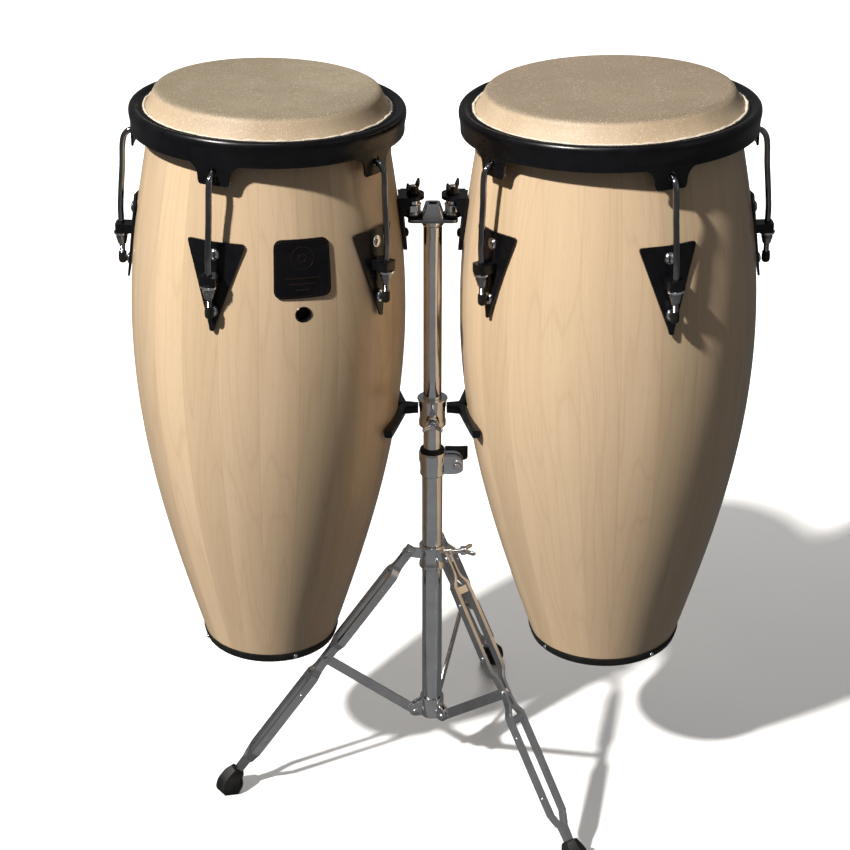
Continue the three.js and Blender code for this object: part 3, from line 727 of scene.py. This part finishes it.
def add_head(name, drum, place):
    top = drum["top"]
    rng = random.Random(7 if name == "quinto" else 11)
    flat = [(radius, DRUM_HEIGHT) for radius in steps(0, top - 9, 12)]
    shoulder = [(top - 6, 710.8), (top - 3.6, 710.2), (top - 1.4, 709.0), (top + 0.4, 706.9), (top + 1.6, 704.2)]
    flare = drum["rim"] - 17.4
    bow = (
        (0.12, 701), (0.27, 698), (0.45, 694.8), (0.63, 691.8),
        (0.80, 689), (0.93, 686.5), (1.0, 683.5), (1.0, 681),
    )
    skirt = [(top + 2 + (flare - top - 2) * share, z) for share, z in bow]
    low = [(drum["rim"] - 13.4, 679.5), (drum["rim"] - 13.4, 668), (barrel(drum, 668) + 0.9, 668)]
    under = [(barrel(drum, 690) + 0.7, 690), (top + 0.7, 700.5), (top - 3.4, 708.8), (0, 708.8)]
    skin = lathe([*flat, *shoulder, *skirt, *low, *under], 144, closed=False)
    waves = [(rng.uniform(0, 6.28), rng.uniform(0.15, 0.4), n) for n in (2, 3, 5, 7)]

    def uneven(x, y, z):
        turn, reach = math.atan2(y, x), math.hypot(x, y) / top
        wave = sum(size * math.sin(n * turn + phase) for phase, size, n in waves)
        if z > 708.9:
            return x, y, z + 0.22 * wave * reach * (1 - reach) * 4 - 0.6 * (1 - reach)
        if 681 < z < 704:
            grow = 1 + 0.35 * wave / top
            return x * grow, y * grow, z
        return x, y, z

    skin = bent(skin, uneven)
    piece(f"{name}_skin", [(SKINS[name], [skin])], "pole", [f"{name}_head"], place, sharp=50)

    # The skin's trimmed edge shows as a pale frayed line just inside the rim.
    radius = drum["rim"] - 17.3
    turns = 150
    path = []
    for i in range(turns + 1):
        out = radius + rng.uniform(-0.5, 0.5)
        path.append(polar(2 * math.pi * i / turns, out, 688.6 + rng.uniform(-0.8, 1.0)))
    path[-1] = path[0]
    strands = [sweep(path, [1.7 + rng.uniform(-0.5, 0.4) for _ in range(turns)] + [1.7], 8)]
    for _ in range(160):
        start = Vector(polar(rng.uniform(0, 2 * math.pi), radius, 688.8))
        lean = Vector((rng.uniform(-1, 1), rng.uniform(-1, 1), rng.uniform(0.6, 1.6))) * 1.5
        strands.append(sweep([start, start + lean * 0.6, start + lean], [0.45, 0.35, 0.12], 5))
    piece(f"{name}_skin_edge", [(FRAY, strands)], "pole", place=place, sharp=60)


def tab_outline():
    """A hook tab with concave fillets into the skirt; X sideways, Y height."""
    right = [(33.5, 668), (33.5, 664.4)]
    for a in steps(90, 180, 10):
        turn = math.radians(a)
        right.append((33.5 + 14.5 * math.cos(turn), 648.4 + 16 * math.sin(turn)))
    right += [(18.6, 645.0), (18.0, 643.0), (16.2, 641.0)]
    left = [(-x, y) for x, y in reversed(right)]
    return [*right, *left]


def add_rim(name, drum, place):
    r = drum["rim"]
    section = [
        (-16.4, -5), (-13.5, -5), (-12.5, -1.8), (-8.5, -1.2), (-6, -4), (-5.2, -10), (-5, -20.6),
        (-3.5, -21.4), (-2, -20.6), (-1.9, -13), (-1.1, -7), (-0.3, -1.5), (-0.7, 3.2), (-2.6, 6.2),
        (-5, 7), (-7.6, 5.8), (-9.8, 3.2), (-12.2, 2.2), (-14, 3.6), (-15.4, 4.3), (-16.5, 3.0),
    ]
    profile = smooth_line([(r + x, RIM_BEAD + z, 0) for x, z in section], 4, closed=True)
    body = lathe([(p.x, p.y) for p in profile], 180)
    tab = sheet(dense(tab_outline(), 4), -4.9, -2.1, [circle(0, 655.7, 4.5, 20, 1.2)], grid=5)
    tabs = []
    for azimuth in lug_azimuths(drum):
        def wrap(x, y, z, azimuth=azimuth):
            return polar(math.radians(azimuth) + x / r, r + z, y)
        tabs.append(bent(tab, wrap))
    piece(f"{name}_rolled_rim", [(BLACK, [body, *tabs])], f"{name}_rim", [f"{name}_rim"], place,
          bevel=0.5, sharp=40)


def add_base(name, drum, place):
    def wall(z, out):
        return barrel(drum, z) + 0.4 + out
    ring = lathe([
        (drum["foot"] - 9, 0.3), (drum["foot"] - 8, 0), (wall(0, 1.0), 0), (wall(0.8, 1.6), 0.8),
        (wall(4, 1.8), 4), (wall(8, 1.8), 8), (wall(11, 1.6), 11), (wall(12, 0.9), 12), (wall(12, 0), 12),
        (wall(SHELL_BOTTOM, 0), SHELL_BOTTOM - 0.4), (drum["foot"] - 9, SHELL_BOTTOM - 0.4),
    ], 128)
    seats = [facing(drum["screw"] + 90 * i) @ shift(0, 6.6, wall(6.6, 2.2)) for i in range(4)]
    heads = [moved(dome(2.7, 1.1), seat) for seat in seats]
    piece(f"{name}_foot_ring", [(RUBBER, [ring])], "pole", [f"{name}_base_ring"], place)
    piece(f"{name}_foot_ring_screws", [(PLATED, heads)], "pole", place=place)


def add_lug(name, drum, place, azimuth, number):
    surface = barrel(drum, LUG_CENTRE)
    low, high = barrel(drum, LUG_CENTRE - LUG_HEIGHT / 2), barrel(drum, LUG_CENTRE + LUG_HEIGHT / 2)
    tilt = math.atan2(low - high, LUG_HEIGHT)
    seat = facing(azimuth) @ shift(0, LUG_CENTRE, surface) @ Matrix.Rotation(-tilt, 4, "X")
    outline = rounded([
        (33.5, 47, 4), (-33.5, 47, 4), (-31.5, 39, 9), (-3.6, -47, 14),
        (-2.4, -53.5, 2.6), (2.4, -53.5, 2.6), (3.6, -47, 14), (31.5, 39, 9),
    ])
    round_off = 2.2

    def fold(x, y, z):
        ridge = math.hypot(x, round_off) - round_off * 0.35
        return x, y, z + LUG_RIDGE - 2.5 - 0.168 * ridge
    plate = bent(sheet(dense(outline, 6), 0, 2.4, grid=6), fold)
    bolts = [moved(dome(5.6, 2.0), shift(0, y, LUG_RIDGE - 0.5)) for y in LUG_BOLTS]
    washers = [moved(disc(6.6, 0, 0.8, 0.2), shift(0, y, LUG_RIDGE - 0.7)) for y in LUG_BOLTS]
    out = drum["rim"] + HOOK_OUT
    near, far = -surface - 1.8, -out - 6.5
    receiver = sheet(rounded([(9.5, near, 0.3), (9.5, far, 3), (-9.5, far, 3), (-9.5, near, 0.3)]),
                     *RECEIVER, [circle(0, -out, 4.1)])
    layers = [
        (BLACK, [moved(plate, seat), moved(receiver, spin(azimuth, "Z"))]),
        (CHROME, placed((*bolts, *washers), seat)),
    ]
    piece(f"{name}_side_plate_{number}", layers, "pole", [f"{name}_lug_{number}"], place, bevel=0.5)


def add_hook(name, drum, place, azimuth, number):
    r = drum["rim"]
    out = r + HOOK_OUT
    turn = spin(azimuth, "Z")
    route = [
        (r - 9.5, 655), (r - 3, 655.5), (r + 3, 653.5), (r + 7.5, 647.5), (r + 9.5, 637), (r + 10.5, 615),
        (r + 12.8, 588), (out, 564), (out, 550), (out, 516.5),
    ]
    rod = sweep(smooth_line([(0, -a, b) for a, b in route], 6), ROD, 18)
    knob = moved(lathe([(0, -3.4), (2.6, -3.0), (4.2, -1.2), (4.4, 0.4), (3.4, 1.8), (0, 2.2)], 20, closed=False),
                 shift(0, -(r - 9.8), 655) @ spin(90, "X"))
    thread_path = [(0, -out, 517.0 - 0.62 * k) for k in range(15)]
    thread = sweep(thread_path, [3.45 if k % 2 else 3.0 for k in range(15)])
    tip = lathe([
        (0, 494.8), (2.4, 495.1), (4.2, 496.4), (5.0, 498.8), (5.0, 504.5), (4.6, 506.4),
        (4.9, 507.2), (4.6, 508.4), (0, 508.6),
    ], 24, closed=False)
    # the rods' darker chrome is painted shade
    layers = [(ROD_CHROME_PAINTED_SHADE, placed((rod, knob, thread), turn)), (RUBBER, [moved(tip, turn @ shift(0, -out, 0))])]
    piece(f"{name}_hook_rod_{number}", layers, f"{name}_rim", [f"{name}_hook_{number}"], place)


def add_nut(name, drum, place, azimuth, number):
    top = RECEIVER[0] - 0.3
    seat = spin(azimuth, "Z") @ shift(0, -(drum["rim"] + HOOK_OUT), 0)
    washer = hoop(3.9, 9.3, top - 1.3, top, 0.4)
    lock = hoop(3.9, 8.9, top - 3.0, top - 1.6, 0.4)
    nut = sheet(hexagon(7.2, 0.6), top - 8.2, top - 3.1, [circle(0, 0, 3.9, 18)])
    nose = lathe([
        (3.9, top - 8.2), (6.3, top - 8.2), (6.0, top - 10.0), (5.3, top - 12.4), (4.9, top - 14.6),
        (4.4, top - 15.0), (3.9, top - 15.0),
    ], 32)
    layers = [(CHROME, placed((washer, lock), seat)), (DARK_PLATE, placed((nut, nose), seat))]
    piece(f"{name}_tuning_nut_{number}", layers, f"{name}_nut_{number}", [f"{name}_nut_{number}"], place,
          bevel=0.35)


def add_badge(name, drum, place):
    """A rounded black plate with a ring and three plain bars."""
    centre, half_width, half_height = 550, 31.5, 32.5
    surface = barrel(drum, centre)
    corners = [(x * half_width, y * half_height, 10) for x, y in ((1, 1), (-1, 1), (-1, -1), (1, -1))]
    plate = sheet(dense(rounded(corners), 5), 0.3, 2.2, grid=6)
    inner = [(x * 0.925, y * 0.925, 8) for x, y, _ in corners]
    outer = [(x * 0.95, y * 0.95, 9) for x, y, _ in corners]
    frame_line = sheet(dense(rounded(outer), 5), 2.0, 2.5, [dense(rounded(inner), 5)])
    ring = sheet(circle(0, 12, 13, 48), 2.0, 2.6, [circle(0, 12, 11.9, 48)])
    dot = sheet(circle(0, 12, 5.2, 32), 2.0, 2.6, [circle(0, 12, 3.6, 32)])
    bars = []
    for w, y in ((20, -10), (14, -16.5), (8, -23)):
        bar = rounded([(w, y + 1, 1), (-w, y + 1, 1), (-w, y - 1, 1), (w, y - 1, 1)])
        bars.append(sheet(dense(bar, 5), 2.0, 2.6))

    def wrap(x, y, z):
        turn = math.radians(mount_azimuth(drum) - LUG_TURN) + x / surface
        return polar(turn, barrel(drum, centre + y) + z, centre + y)
    lines = [bent(s, wrap) for s in (frame_line, ring, dot, *bars)]
    layers = [(GLOSS_BLACK, [bent(plate, wrap)]), (BADGE_LINE, lines)]
    piece(f"{name}_badge", layers, "pole", place=place, bevel=0.25)


def add_bracket(name, drum):
    side = drum["side"]
    place = drum_matrix(drum)
    low, high = 731 - CLEARANCE, 807 - CLEARANCE
    foot = low + 9
    outline = rounded([
        (19, high, 3), (-19, high, 3), (-18, low + 44, 14), (-8, foot, 7), (8, foot, 7), (18, low + 44, 14),
    ])

    def wrap(x, y, z):
        return polar(math.radians(mount_azimuth(drum)) + x / barrel(drum, y), barrel(drum, y) + z, y)
    plate = moved(bent(sheet(dense(outline, 5), 0.7, 4.8, grid=6), wrap), place)
    level = low + 30
    slope = math.atan2(barrel(drum, level - 5) - barrel(drum, level + 5), 10)
    seat = place @ facing(mount_azimuth(drum)) @ shift(0, level, barrel(drum, level) + 4.6)
    bolt = moved(dome(5.4, 3.0), seat @ Matrix.Rotation(-slope, 4, "X"))
    near, far = 9.8, 38.0
    shape = rounded([(near, -9, 8), (near, 9, 8), (20, 18, 8), (far, 18, 1), (far, -18, 1), (20, -18, 8)])
    shelf = sheet([(side * x, y) for x, y in shape], SHELF - 4.5, SHELF, [circle(side * STUD_X, 0, 4.6)])
    shape = rounded([
        (far, SHELF - 1, 0.5), (25, SHELF - 1, 0.5), (27, SHELF - 11, 8), (33.5, SHELF - 24, 4),
        (far, SHELF - 24, 1),
    ])
    cheek = prism([(side * a, b) for a, b in shape], -1.5, 1.5)
    cheeks = [moved(cheek, shift(0, y, 0) @ spin(90, "X")) for y in (-16.5, 16.5)]
    def on_stud(radius, low, high, edge):
        return hoop(4.5, radius, CROSSBAR_TOP + low, CROSSBAR_TOP + high, edge)
    pad = on_stud(11.5, 0.4, 3.4, 0.8)
    cup = on_stud(10.4, 3.5, 5.3, 0.5)
    lock = sheet(hexagon(9.2, 0.8, 8), CROSSBAR_TOP + 6.6, CROSSBAR_TOP + 13.4, [circle(0, 0, 4.5, 18)])
    split = on_stud(8.6, 5.4, 6.5, 0.4)
    upper = on_stud(9.8, 13.5, 15.4, 0.6)
    spring = on_stud(7.8, 15.5, 22.4, 0.6)
    at = shift(side * STUD_X, 0, 0)
    layers = [
        (BLACK, [plate, bolt, shelf, *cheeks]), (RUBBER, [moved(pad, at)]),
        (CHROME, placed((cup, lock, split, upper, spring), at)),
    ]
    piece(f"{name}_bracket", layers, "pole", [f"{name}_mount_bracket"], bevel=0.6)


def add_wing_nut(name, drum):
    low = SHELF + 0.4
    hub = lathe([
        (4.4, low), (7.6, low), (7.8, low + 1.6), (6.8, low + 3.2), (6.4, low + 7.6), (5.6, low + 8.8),
        (4.4, low + 9.0),
    ], 32)
    wings = []
    for way in (-1, 1):
        rise = [(4.6, 3.4), (8.0, 5.2), (10.8, 9.6), (12.6, 14.6)]
        line = smooth_line([(way * x, 0, low + z) for x, z in rise], 5)
        shares = steps(0, 1, len(line) - 1)
        widths = [2.4 + 1.7 * math.sin(math.pi * min(1.0, 1.12 * share) ** 1.3) for share in shares]
        widths[-1] = 1.7
        wings.append(moved(sweep(line, widths, 14, flat=0.6), spin(60, "Z")))
    layers = [(GLOSS_BLACK, placed((hub, *wings), shift(drum["side"] * STUD_X, 0, 0)))]
    piece(f"{name}_stud_wing_nut", layers, f"{name}_wing_nut", [f"{name}_wing_nut"], sharp=45)


def add_drum(name, drum):
    place = drum_matrix(drum)
    add_shell(name, drum, place)
    add_head(name, drum, place)
    add_rim(name, drum, place)
    add_base(name, drum, place)
    for i, azimuth in enumerate(lug_azimuths(drum)):
        add_lug(name, drum, place, azimuth, i + 1)
        add_hook(name, drum, place, azimuth, i + 1)
        add_nut(name, drum, place, azimuth, i + 1)
    add_badge(name, drum, place)
    add_bracket(name, drum)
    add_wing_nut(name, drum)


for drum_name, drum_facts in DRUMS.items():
    add_drum(drum_name, drum_facts)


# ---------- stand ----------

CRADLE_SCREW = shift(0, 0, 520)
COLLAR_SCREW = spin(10.9, "Z") @ shift(0, 0, 327)


def add_upper_tube():
    tube = lathe([
        (9.9, 262), (10.6, 262), (11.1, 262.6), (11.1, 764.5), (12.0, 765.2), (13.4, 768),
        (14.2, CROSSBAR_TOP - 3.5), (9.9, CROSSBAR_TOP - 3.5),
    ])
    bar_line = rounded([(29, -16.5, 7), (-29, -16.5, 7), (-29, 16.5, 7), (29, 16.5, 7)])
    bar = sheet(bar_line, CROSSBAR_TOP - 4, CROSSBAR_TOP, [circle(0, 0, 7, 32)])
    levels = [
        (CROSSBAR_TOP - 0.2, 12.4, 14.2), (CROSSBAR_TOP + 3.4, 12.2, 13.8), (CROSSBAR_TOP + 5.6, 11.4, 12.8),
        (790.4, 8.9, 9.6), (791.6, 8.2, 8.9), (792, 7.2, 7.9),
    ]
    rings = [rounded([(a, -b, 3.2), (-a, -b, 3.2), (-a, b, 3.2), (a, b, 3.2)], 4) for _, a, b in levels]
    rings += [[tuple(Vector(p).normalized() * 5.5) for p in rings[-1]]] * 2
    heights = [level[0] for level in levels] + [791.6, CROSSBAR_TOP - 3]
    socket = stacked(rings, heights)
    heights = steps(CROSSBAR_TOP - 6, STUD_TOP, 43)
    radii = [4.0 if k % 2 else 3.55 for k in range(43)] + [3.0]
    studs = [sweep([(way * STUD_X, 0, z) for z in heights], radii) for way in (-1, 1)]
    layers = [(CHROME, [tube]), (DARK_PLATE, [bar]), (PLATED, [socket, *studs])]
    piece("pole_upper", layers, "pole", ["upper_tube"], bevel=0.5)


def add_lower_tube():
    tube = lathe([(11.5, 85), (12.3, 85), (12.7, 85.5), (12.7, 469.5), (12.3, 470), (11.5, 470)])
    piece("pole_lower", [(CHROME, [tube])], "base", ["lower_tube"])


def wing_handle(shaft, radius, span):
    """A screw along +X from the origin with a wing handle at its outer end."""
    stem_line = [(x, 0, 0) for x in steps(0, shaft, shaft)]
    stem = sweep(stem_line, [radius if k % 2 else radius - 0.35 for k in range(shaft + 1)], 14)
    neck = lathe([
        (0, shaft - 4), (radius + 1.6, shaft - 4), (radius + 2.4, shaft - 2.5), (radius + 2.2, shaft + 3),
        (0, shaft + 5),
    ], 24, closed=False)
    wings = []
    for way in (-1, 1):
        rise = ((1, 1.5), (5, span * 0.22), (9.5, span * 0.38), (13.5, span / 2 - 2.2))
        line = smooth_line([(shaft + x, way * y, 0) for x, y in rise], 5)
        widths = [2.3 + 0.9 * math.sin(math.pi * share) for share in steps(0, 1, len(line) - 1)]
        wings.append(sweep(line, widths, 14, flat=0.7))
    return [stem, moved(neck, spin(90, "Y")), *wings]


def add_screws():
    seats = {
        "clamp": (26, 4.0, 30, shift(30, 0, 456) @ spin(90, "Z") @ shift(-12, 0, 0)),
        "cradle": (12, 3.5, 26, CRADLE_SCREW @ spin(-90, "Z") @ shift(17, 0, 0)),
        "collar": (26, 3.5, 26, COLLAR_SCREW @ shift(14.5, 0, 0)),
    }
    for name, (shaft, radius, span, place) in seats.items():
        stem, neck, *wings = wing_handle(shaft, radius, span)
        if name == "clamp":
            grip = [(shaft + 2, -7, 2), (shaft + 7, -14, 3), (shaft + 15.5, -14.5, 3), (shaft + 14, 0, 6)]
            grip += [(x, -y, r) for x, y, r in reversed(grip[:-1])]
            layers = [(CHROME, [stem, neck]), (RUBBER, [prism(rounded(grip), -6, 9)])]
        else:
            layers = [(CHROME, [stem, neck, *wings])]
        piece(f"{name}_thumb_screw", layers, f"{name}_screw", [f"{name}_wing_screw"], place,
              bevel=0.8, sharp=50)


def add_clamp():
    sleeve = lathe([
        (13.1, 441), (14.6, 441), (15.4, 442.4), (14.9, 447), (15.2, 455), (16.5, 461), (16.5, 471),
        (15.9, 472.6), (14.2, 473), (13.1, 473),
    ])
    bushing = lathe([
        (11.5, 468), (13.4, 468), (13.4, 473.2), (15.0, 473.4), (15.3, 475.4), (14.4, 476.6), (11.5, 476.6),
    ])
    outline = rounded([(14, 444, 1), (30, 444, 9), (38, 448, 8), (38, 462, 8), (30, 468, 9), (14, 468, 1)])
    flats = []
    for way in (-1, 1):
        shape = sheet(outline, way * 1.8, way * 8.6, [circle(30, 456, 4.5)])
        flats.append(moved(shape, spin(90, "X")))
    washer = moved(hoop(4.5, 7.2, 8.7, 10.2, 0.4), shift(30, 0, 456) @ spin(90, "X"))
    layers = [(CHROME, [sleeve, *flats, washer]), (RUBBER, [bushing])]
    piece("height_clamp_body", layers, "base", ["height_clamp"], bevel=0.6)


def add_cradle():
    collar = lathe([
        (11.5, 508), (15.6, 508), (16.5, 509), (16.5, 515), (15.7, 517), (15.7, 532), (16.5, 534), (16.5, 539),
        (18.6, 544), (18.2, 545), (11.5, 545),
    ])
    seat = lathe([(3.9, 12), (8.2, 12), (8.2, 22), (7.4, 23.4), (3.9, 23.4)], 32)
    sleeves, ends = [], []
    level = CRADLE_AT - CLEARANCE
    for drum in DRUMS.values():
        side = drum["side"]
        axis = DRUM_GAP + drum["belly"] - math.tan(LEAN) * (level - DRUM_HEIGHT / 2)
        reach = barrel(drum, level + 6) + 6.2
        for way in (-1, 1):
            end_x = axis - math.sqrt(reach**2 - CRADLE_SPREAD**2)
            end = Vector((side * end_x, way * CRADLE_SPREAD, CRADLE_AT))
            start = Vector((side * 20, way * 1.5, CRADLE_AT))
            elbow = Vector((side * 36.2, way * 5, CRADLE_AT))
            aim = (end - elbow).normalized()
            bend = [start.lerp(elbow, 0.55), start.lerp(elbow, 0.9), elbow + aim * 5]
            line = smooth_line([start, *bend, elbow.lerp(end, 0.4), end], 6)
            sleeves.append(sweep(line, 5.4, 20, squareness=0.55))
            ends.append(sweep([end - aim * 0.5, end + aim * 8.6], [5.4, 5.0], 20, squareness=0.55))
        ends.append(block(sorted((side * 17, side * 29)), (-5.5, 5.5), (CRADLE_AT - 5, CRADLE_AT + 5)))
    layers = [(CHROME, [collar, moved(seat, CRADLE_SCREW @ spin(90, "X"))]), (GLOSS_BLACK, [*sleeves, *ends])]
    piece("cradle_fork", layers, "cradle", ["cradle"], bevel=0.6)


def radial(angle):
    """Stands up what is drawn in X (outward), Y (up), Z (sideways) at an angle from +X."""
    return spin(angle, "Z") @ spin(90, "X")


def outward(way):
    """Leaves +Z as it is for way 1 and turns it over for way -1."""
    return spin(0 if way > 0 else 180, "Y")


def strap(start, end, half, centres, half_thick):
    """A flat bar with round ends and pivot holes, drawn in XY."""
    start, end = Vector(start), Vector(end)
    angle = math.atan2(end.y - start.y, end.x - start.x)
    line = []
    for centre, turn in ((start, math.pi / 2), (end, -math.pi / 2)):
        for a in steps(angle + turn, angle + turn + math.pi, 10):
            line.append((centre.x + half * math.cos(a), centre.y + half * math.sin(a)))
    return sheet(line, -half_thick, half_thick, [circle(*c, PIVOT_HOLE, 16) for c in centres])


def add_collar():
    sleeve = lathe([
        (13.1, 310), (15.4, 310), (16.5, 311.4), (16.2, 316), (14.9, 319), (14.9, 333), (16.2, 336),
        (16.5, 340.6), (15.4, 342), (13.1, 342),
    ])
    tongue = strap((16, COLLAR_PIVOT[1] - 4), COLLAR_PIVOT, 7, [COLLAR_PIVOT], 1.4)
    tongues = [moved(tongue, radial(angle)) for angle in LEG_ANGLES.values()]
    seat = lathe([(3.9, 13), (7.2, 13), (7.2, 23.6), (6.4, 24.6), (3.9, 24.6)], 32)
    seat = moved(seat, COLLAR_SCREW @ spin(90, "Y"))
    piece("leg_collar_body", [(CHROME, [sleeve, *tongues, seat])], "collar", ["leg_collar"], bevel=0.5)


def add_hub():
    sleeve = lathe([(13.1, 86), (14.6, 86), (15.4, 87), (15.4, 113.5), (14.8, 115), (13.1, 115)])
    ear = rounded([(13.5, 86.3, 1), (25, 86.3, 4), (30, 90, 4), (30.5, 99, 6), (24, 105.5, 6), (13.5, 110, 1)])
    shapes = []
    for angle in LEG_ANGLES.values():
        for way in (-1, 1):
            shapes.append(moved(sheet(ear, way * 1.9, way * 4.6), radial(angle)))
            at = radial(angle) @ shift(*HUB_PIVOT, way * 4.5)
            shapes.append(moved(dome(4.2, 1.4), at @ outward(way)))
        shapes.append(moved(disc(3.0, -5, 5, 0.2, 20), radial(angle) @ shift(*HUB_PIVOT, 0)))
    piece("hub_body", [(CHROME, [sleeve]), (PLATED, shapes)], "base", ["hub"], bevel=0.5)


RAIL_LINE = [
    # distance along the leg, half gap, half width
    (-8, 1.7, 4.6), (22, 1.7, 4.9), (34, 6.6, 11.4), (46, 7.6, 12.4), (140, 7.6, 12.4),
    (152, 6.4, 11.2), (165, 1.8, 5.6), (195, 1.8, 5.6), (208, 6.4, 11.2), (220, 7.6, 12.4),
    (330, 7.6, 12.4), (344, 6.2, 11.0), (358, 1.2, 6.4),
]
RAIL_UP, RAIL_DOWN = 4.3, 6.5
# distance along the leg, half width there, head's radius, height
RIVETS = [
    (0, 4.6, 3.6, -0.6), (60, 12.4, 2.2, -1.0), (131, 12.4, 2.2, -1.0), (180, 5.6, 3.6, -0.6),
    (238, 12.4, 2.2, -1.0), (318, 12.4, 2.2, -1.0),
]
LEG_SLOPE = math.atan2(FOOT_POINT[1] - COLLAR_PIVOT[1], FOOT_POINT[0] - COLLAR_PIVOT[0])


def add_leg(name, angle):
    place = radial(angle) @ shift(*COLLAR_PIVOT, 0) @ Matrix.Rotation(LEG_SLOPE, 4, "Z")
    inner = smooth_line([(x, gap, 0) for x, gap, _ in RAIL_LINE], 4)
    outer = smooth_line([(x, width, 0) for x, _, width in RAIL_LINE], 4)
    shapes = []
    for way in (-1, 1):
        line = [(p.x, way * p.y) for p in outer] + [(p.x, way * p.y) for p in reversed(inner)]
        shapes.append(moved(sheet(line, -RAIL_DOWN, RAIL_UP), place @ spin(-90, "X")))
        for x, width, radius, y in RIVETS:
            at = place @ shift(x, y, way * (width - 0.2))
            shapes.append(moved(dome(radius, 1.2), at @ outward(way)))
    shapes.append(moved(disc(3.0, -4.6, 4.6, 0.2, 20), place))
    web = rounded([(355, 5.8, 2), (RAIL_LENGTH, 4.6, 0.5), (RAIL_LENGTH, -4.6, 0.5), (355, -5.8, 2)])
    shapes.append(moved(prism(web, -5, 4.2), place @ spin(-90, "X")))
    tabs = [moved(block((x, x + 9), (-6.2, 2.6), (-7.4, 7.4)), place) for x in (38, 212)]
    layers = [(PLATED, shapes), (CHROME, tabs)]
    piece(f"{name}_leg_rails", layers, f"{name}_leg", [f"{name}_leg"], bevel=0.8)


def add_brace(name, angle):
    bar = strap(HUB_PIVOT, MID_PIVOT, 6.5, [HUB_PIVOT, MID_PIVOT], 1.35)
    layers = [(PLATED, [moved(bar, radial(angle))])]
    piece(f"{name}_brace_strap", layers, f"{name}_brace", [f"{name}_brace"], bevel=0.5)


def add_foot(name, angle):
    """A rubber spade: a ridged body that widens from the leg down to a short flat sole."""
    start = RAIL_LENGTH + 0.4
    cut = Vector(COLLAR_PIVOT) + Vector((math.cos(LEG_SLOPE), math.sin(LEG_SLOPE))) * start
    across, drop = Vector((-math.sin(LEG_SLOPE), math.cos(LEG_SLOPE))), Vector((0, 1.5))
    sole = FOOT_POINT[0] - 9.8
    inner = [
        cut - across * 8, cut - across * 8.6 - drop,
        (sole - 17.6, 20), (sole - 18, 12), (sole - 16, 4), (sole - 12.5, 0),
    ]
    outer = [
        cut + across * 12, cut + across * 12.8 - drop,
        (sole + 11.5, 24), (sole + 16.5, 12), (sole + 16.5, 4), (sole + 12.5, 0),
    ]
    widths = [(7.0, 0), (8.4, 0), (12.6, 0), (15.0, 0), (15.0, 0), (13.6, 0)]
    inner, outer, widths = (smooth_line([(*p, 0) for p in line], 3) for line in (inner, outer, widths))
    ridges = [(1, 0), (0.5, 1), (-0.7, 1), (-1, 0.45), (-1, -0.45), (-0.7, -1), (0.5, -1)]
    section = dense(ridges, 0.5)
    verts = []
    for a, b, half in zip(inner, outer, widths):
        middle, arm = (a + b) / 2, (b - a) / 2
        for share, wide in section:
            point = middle + arm * share
            verts.append(Vector((point.x, max(point.y, 0), half.x * wide)))
    foot = verts, capped(len(widths), len(section)), None
    piece(f"{name}_rubber_foot", [(RUBBER, [moved(foot, radial(angle))])], f"{name}_leg",
          [f"{name}_foot"], bevel=0.8)


add_upper_tube()
add_lower_tube()
add_screws()
add_clamp()
add_cradle()
add_collar()
add_hub()
for leg_name, leg_angle in LEG_ANGLES.items():
    add_leg(leg_name, leg_angle)
    add_brace(leg_name, leg_angle)
    add_foot(leg_name, leg_angle)


# ---------- floor, backdrop and light ----------

def add_stage(name, verts, faces, material):
    """A stage piece that the camera sees but that throws no light back up into the dark side."""
    mesh = bpy.data.meshes.new(name)
    mesh.from_pydata(verts, [], faces)
    mesh.materials.append(material)
    made = linked(name, mesh)
    made.visible_diffuse = False
    made.visible_glossy = False
    return made


def add_floor():
    corners = [(x * FLOOR_HALF, y * FLOOR_HALF, 0) for x, y in ((-1, -1), (1, -1), (1, 1), (-1, 1))]
    add_stage("floor", corners, [(0, 1, 2, 3)], plain_floor())


def add_backdrop():
    profile = [(12000, 0), (13600, 350), (14700, 1400), (15000, 3000), (15000, 14000)]
    wall, faces, _ = lathe(profile, 96, closed=False)
    backdrop = add_stage("backdrop", [v * MM for v in wall], faces, plain_backdrop())
    backdrop.visible_shadow = False
    backdrop.visible_transmission = False


add_floor()
add_backdrop()
add_world()
add_lamp("key", "SUN", toward(-48, 45) * 4, 5.9, (1.0, 0.965, 0.915), angle=math.radians(3))
add_lamp("fill", "AREA", toward(60, 20) * 3.5, 2, (1.0, 0.96, 0.92), shape="DISK", size=1.6)
back = add_lamp("back", "AREA", toward(178, 22) * 3.6, 80, (1.0, 0.98, 0.95), shape="DISK", size=1.6)
back.visible_glossy = False
add_card("bead_card", toward(-8, 60) * 3.0, 5, (0.85, 0.93, 1.0), shape="DISK", size=0.6)
low_card = add_card("low_card", toward(0, 0), 2.4, (0.97, 0.98, 1.0), shape="RECTANGLE", size=3.4, size_y=2.45)
# it lies just above the floor, in front of the stand, and faces up
low_card.location = (0, -1.35, 0.012)
low_card.rotation_quaternion = (0, 1, 0, 0)
bpy.context.scene.view_settings.view_transform = "Standard"
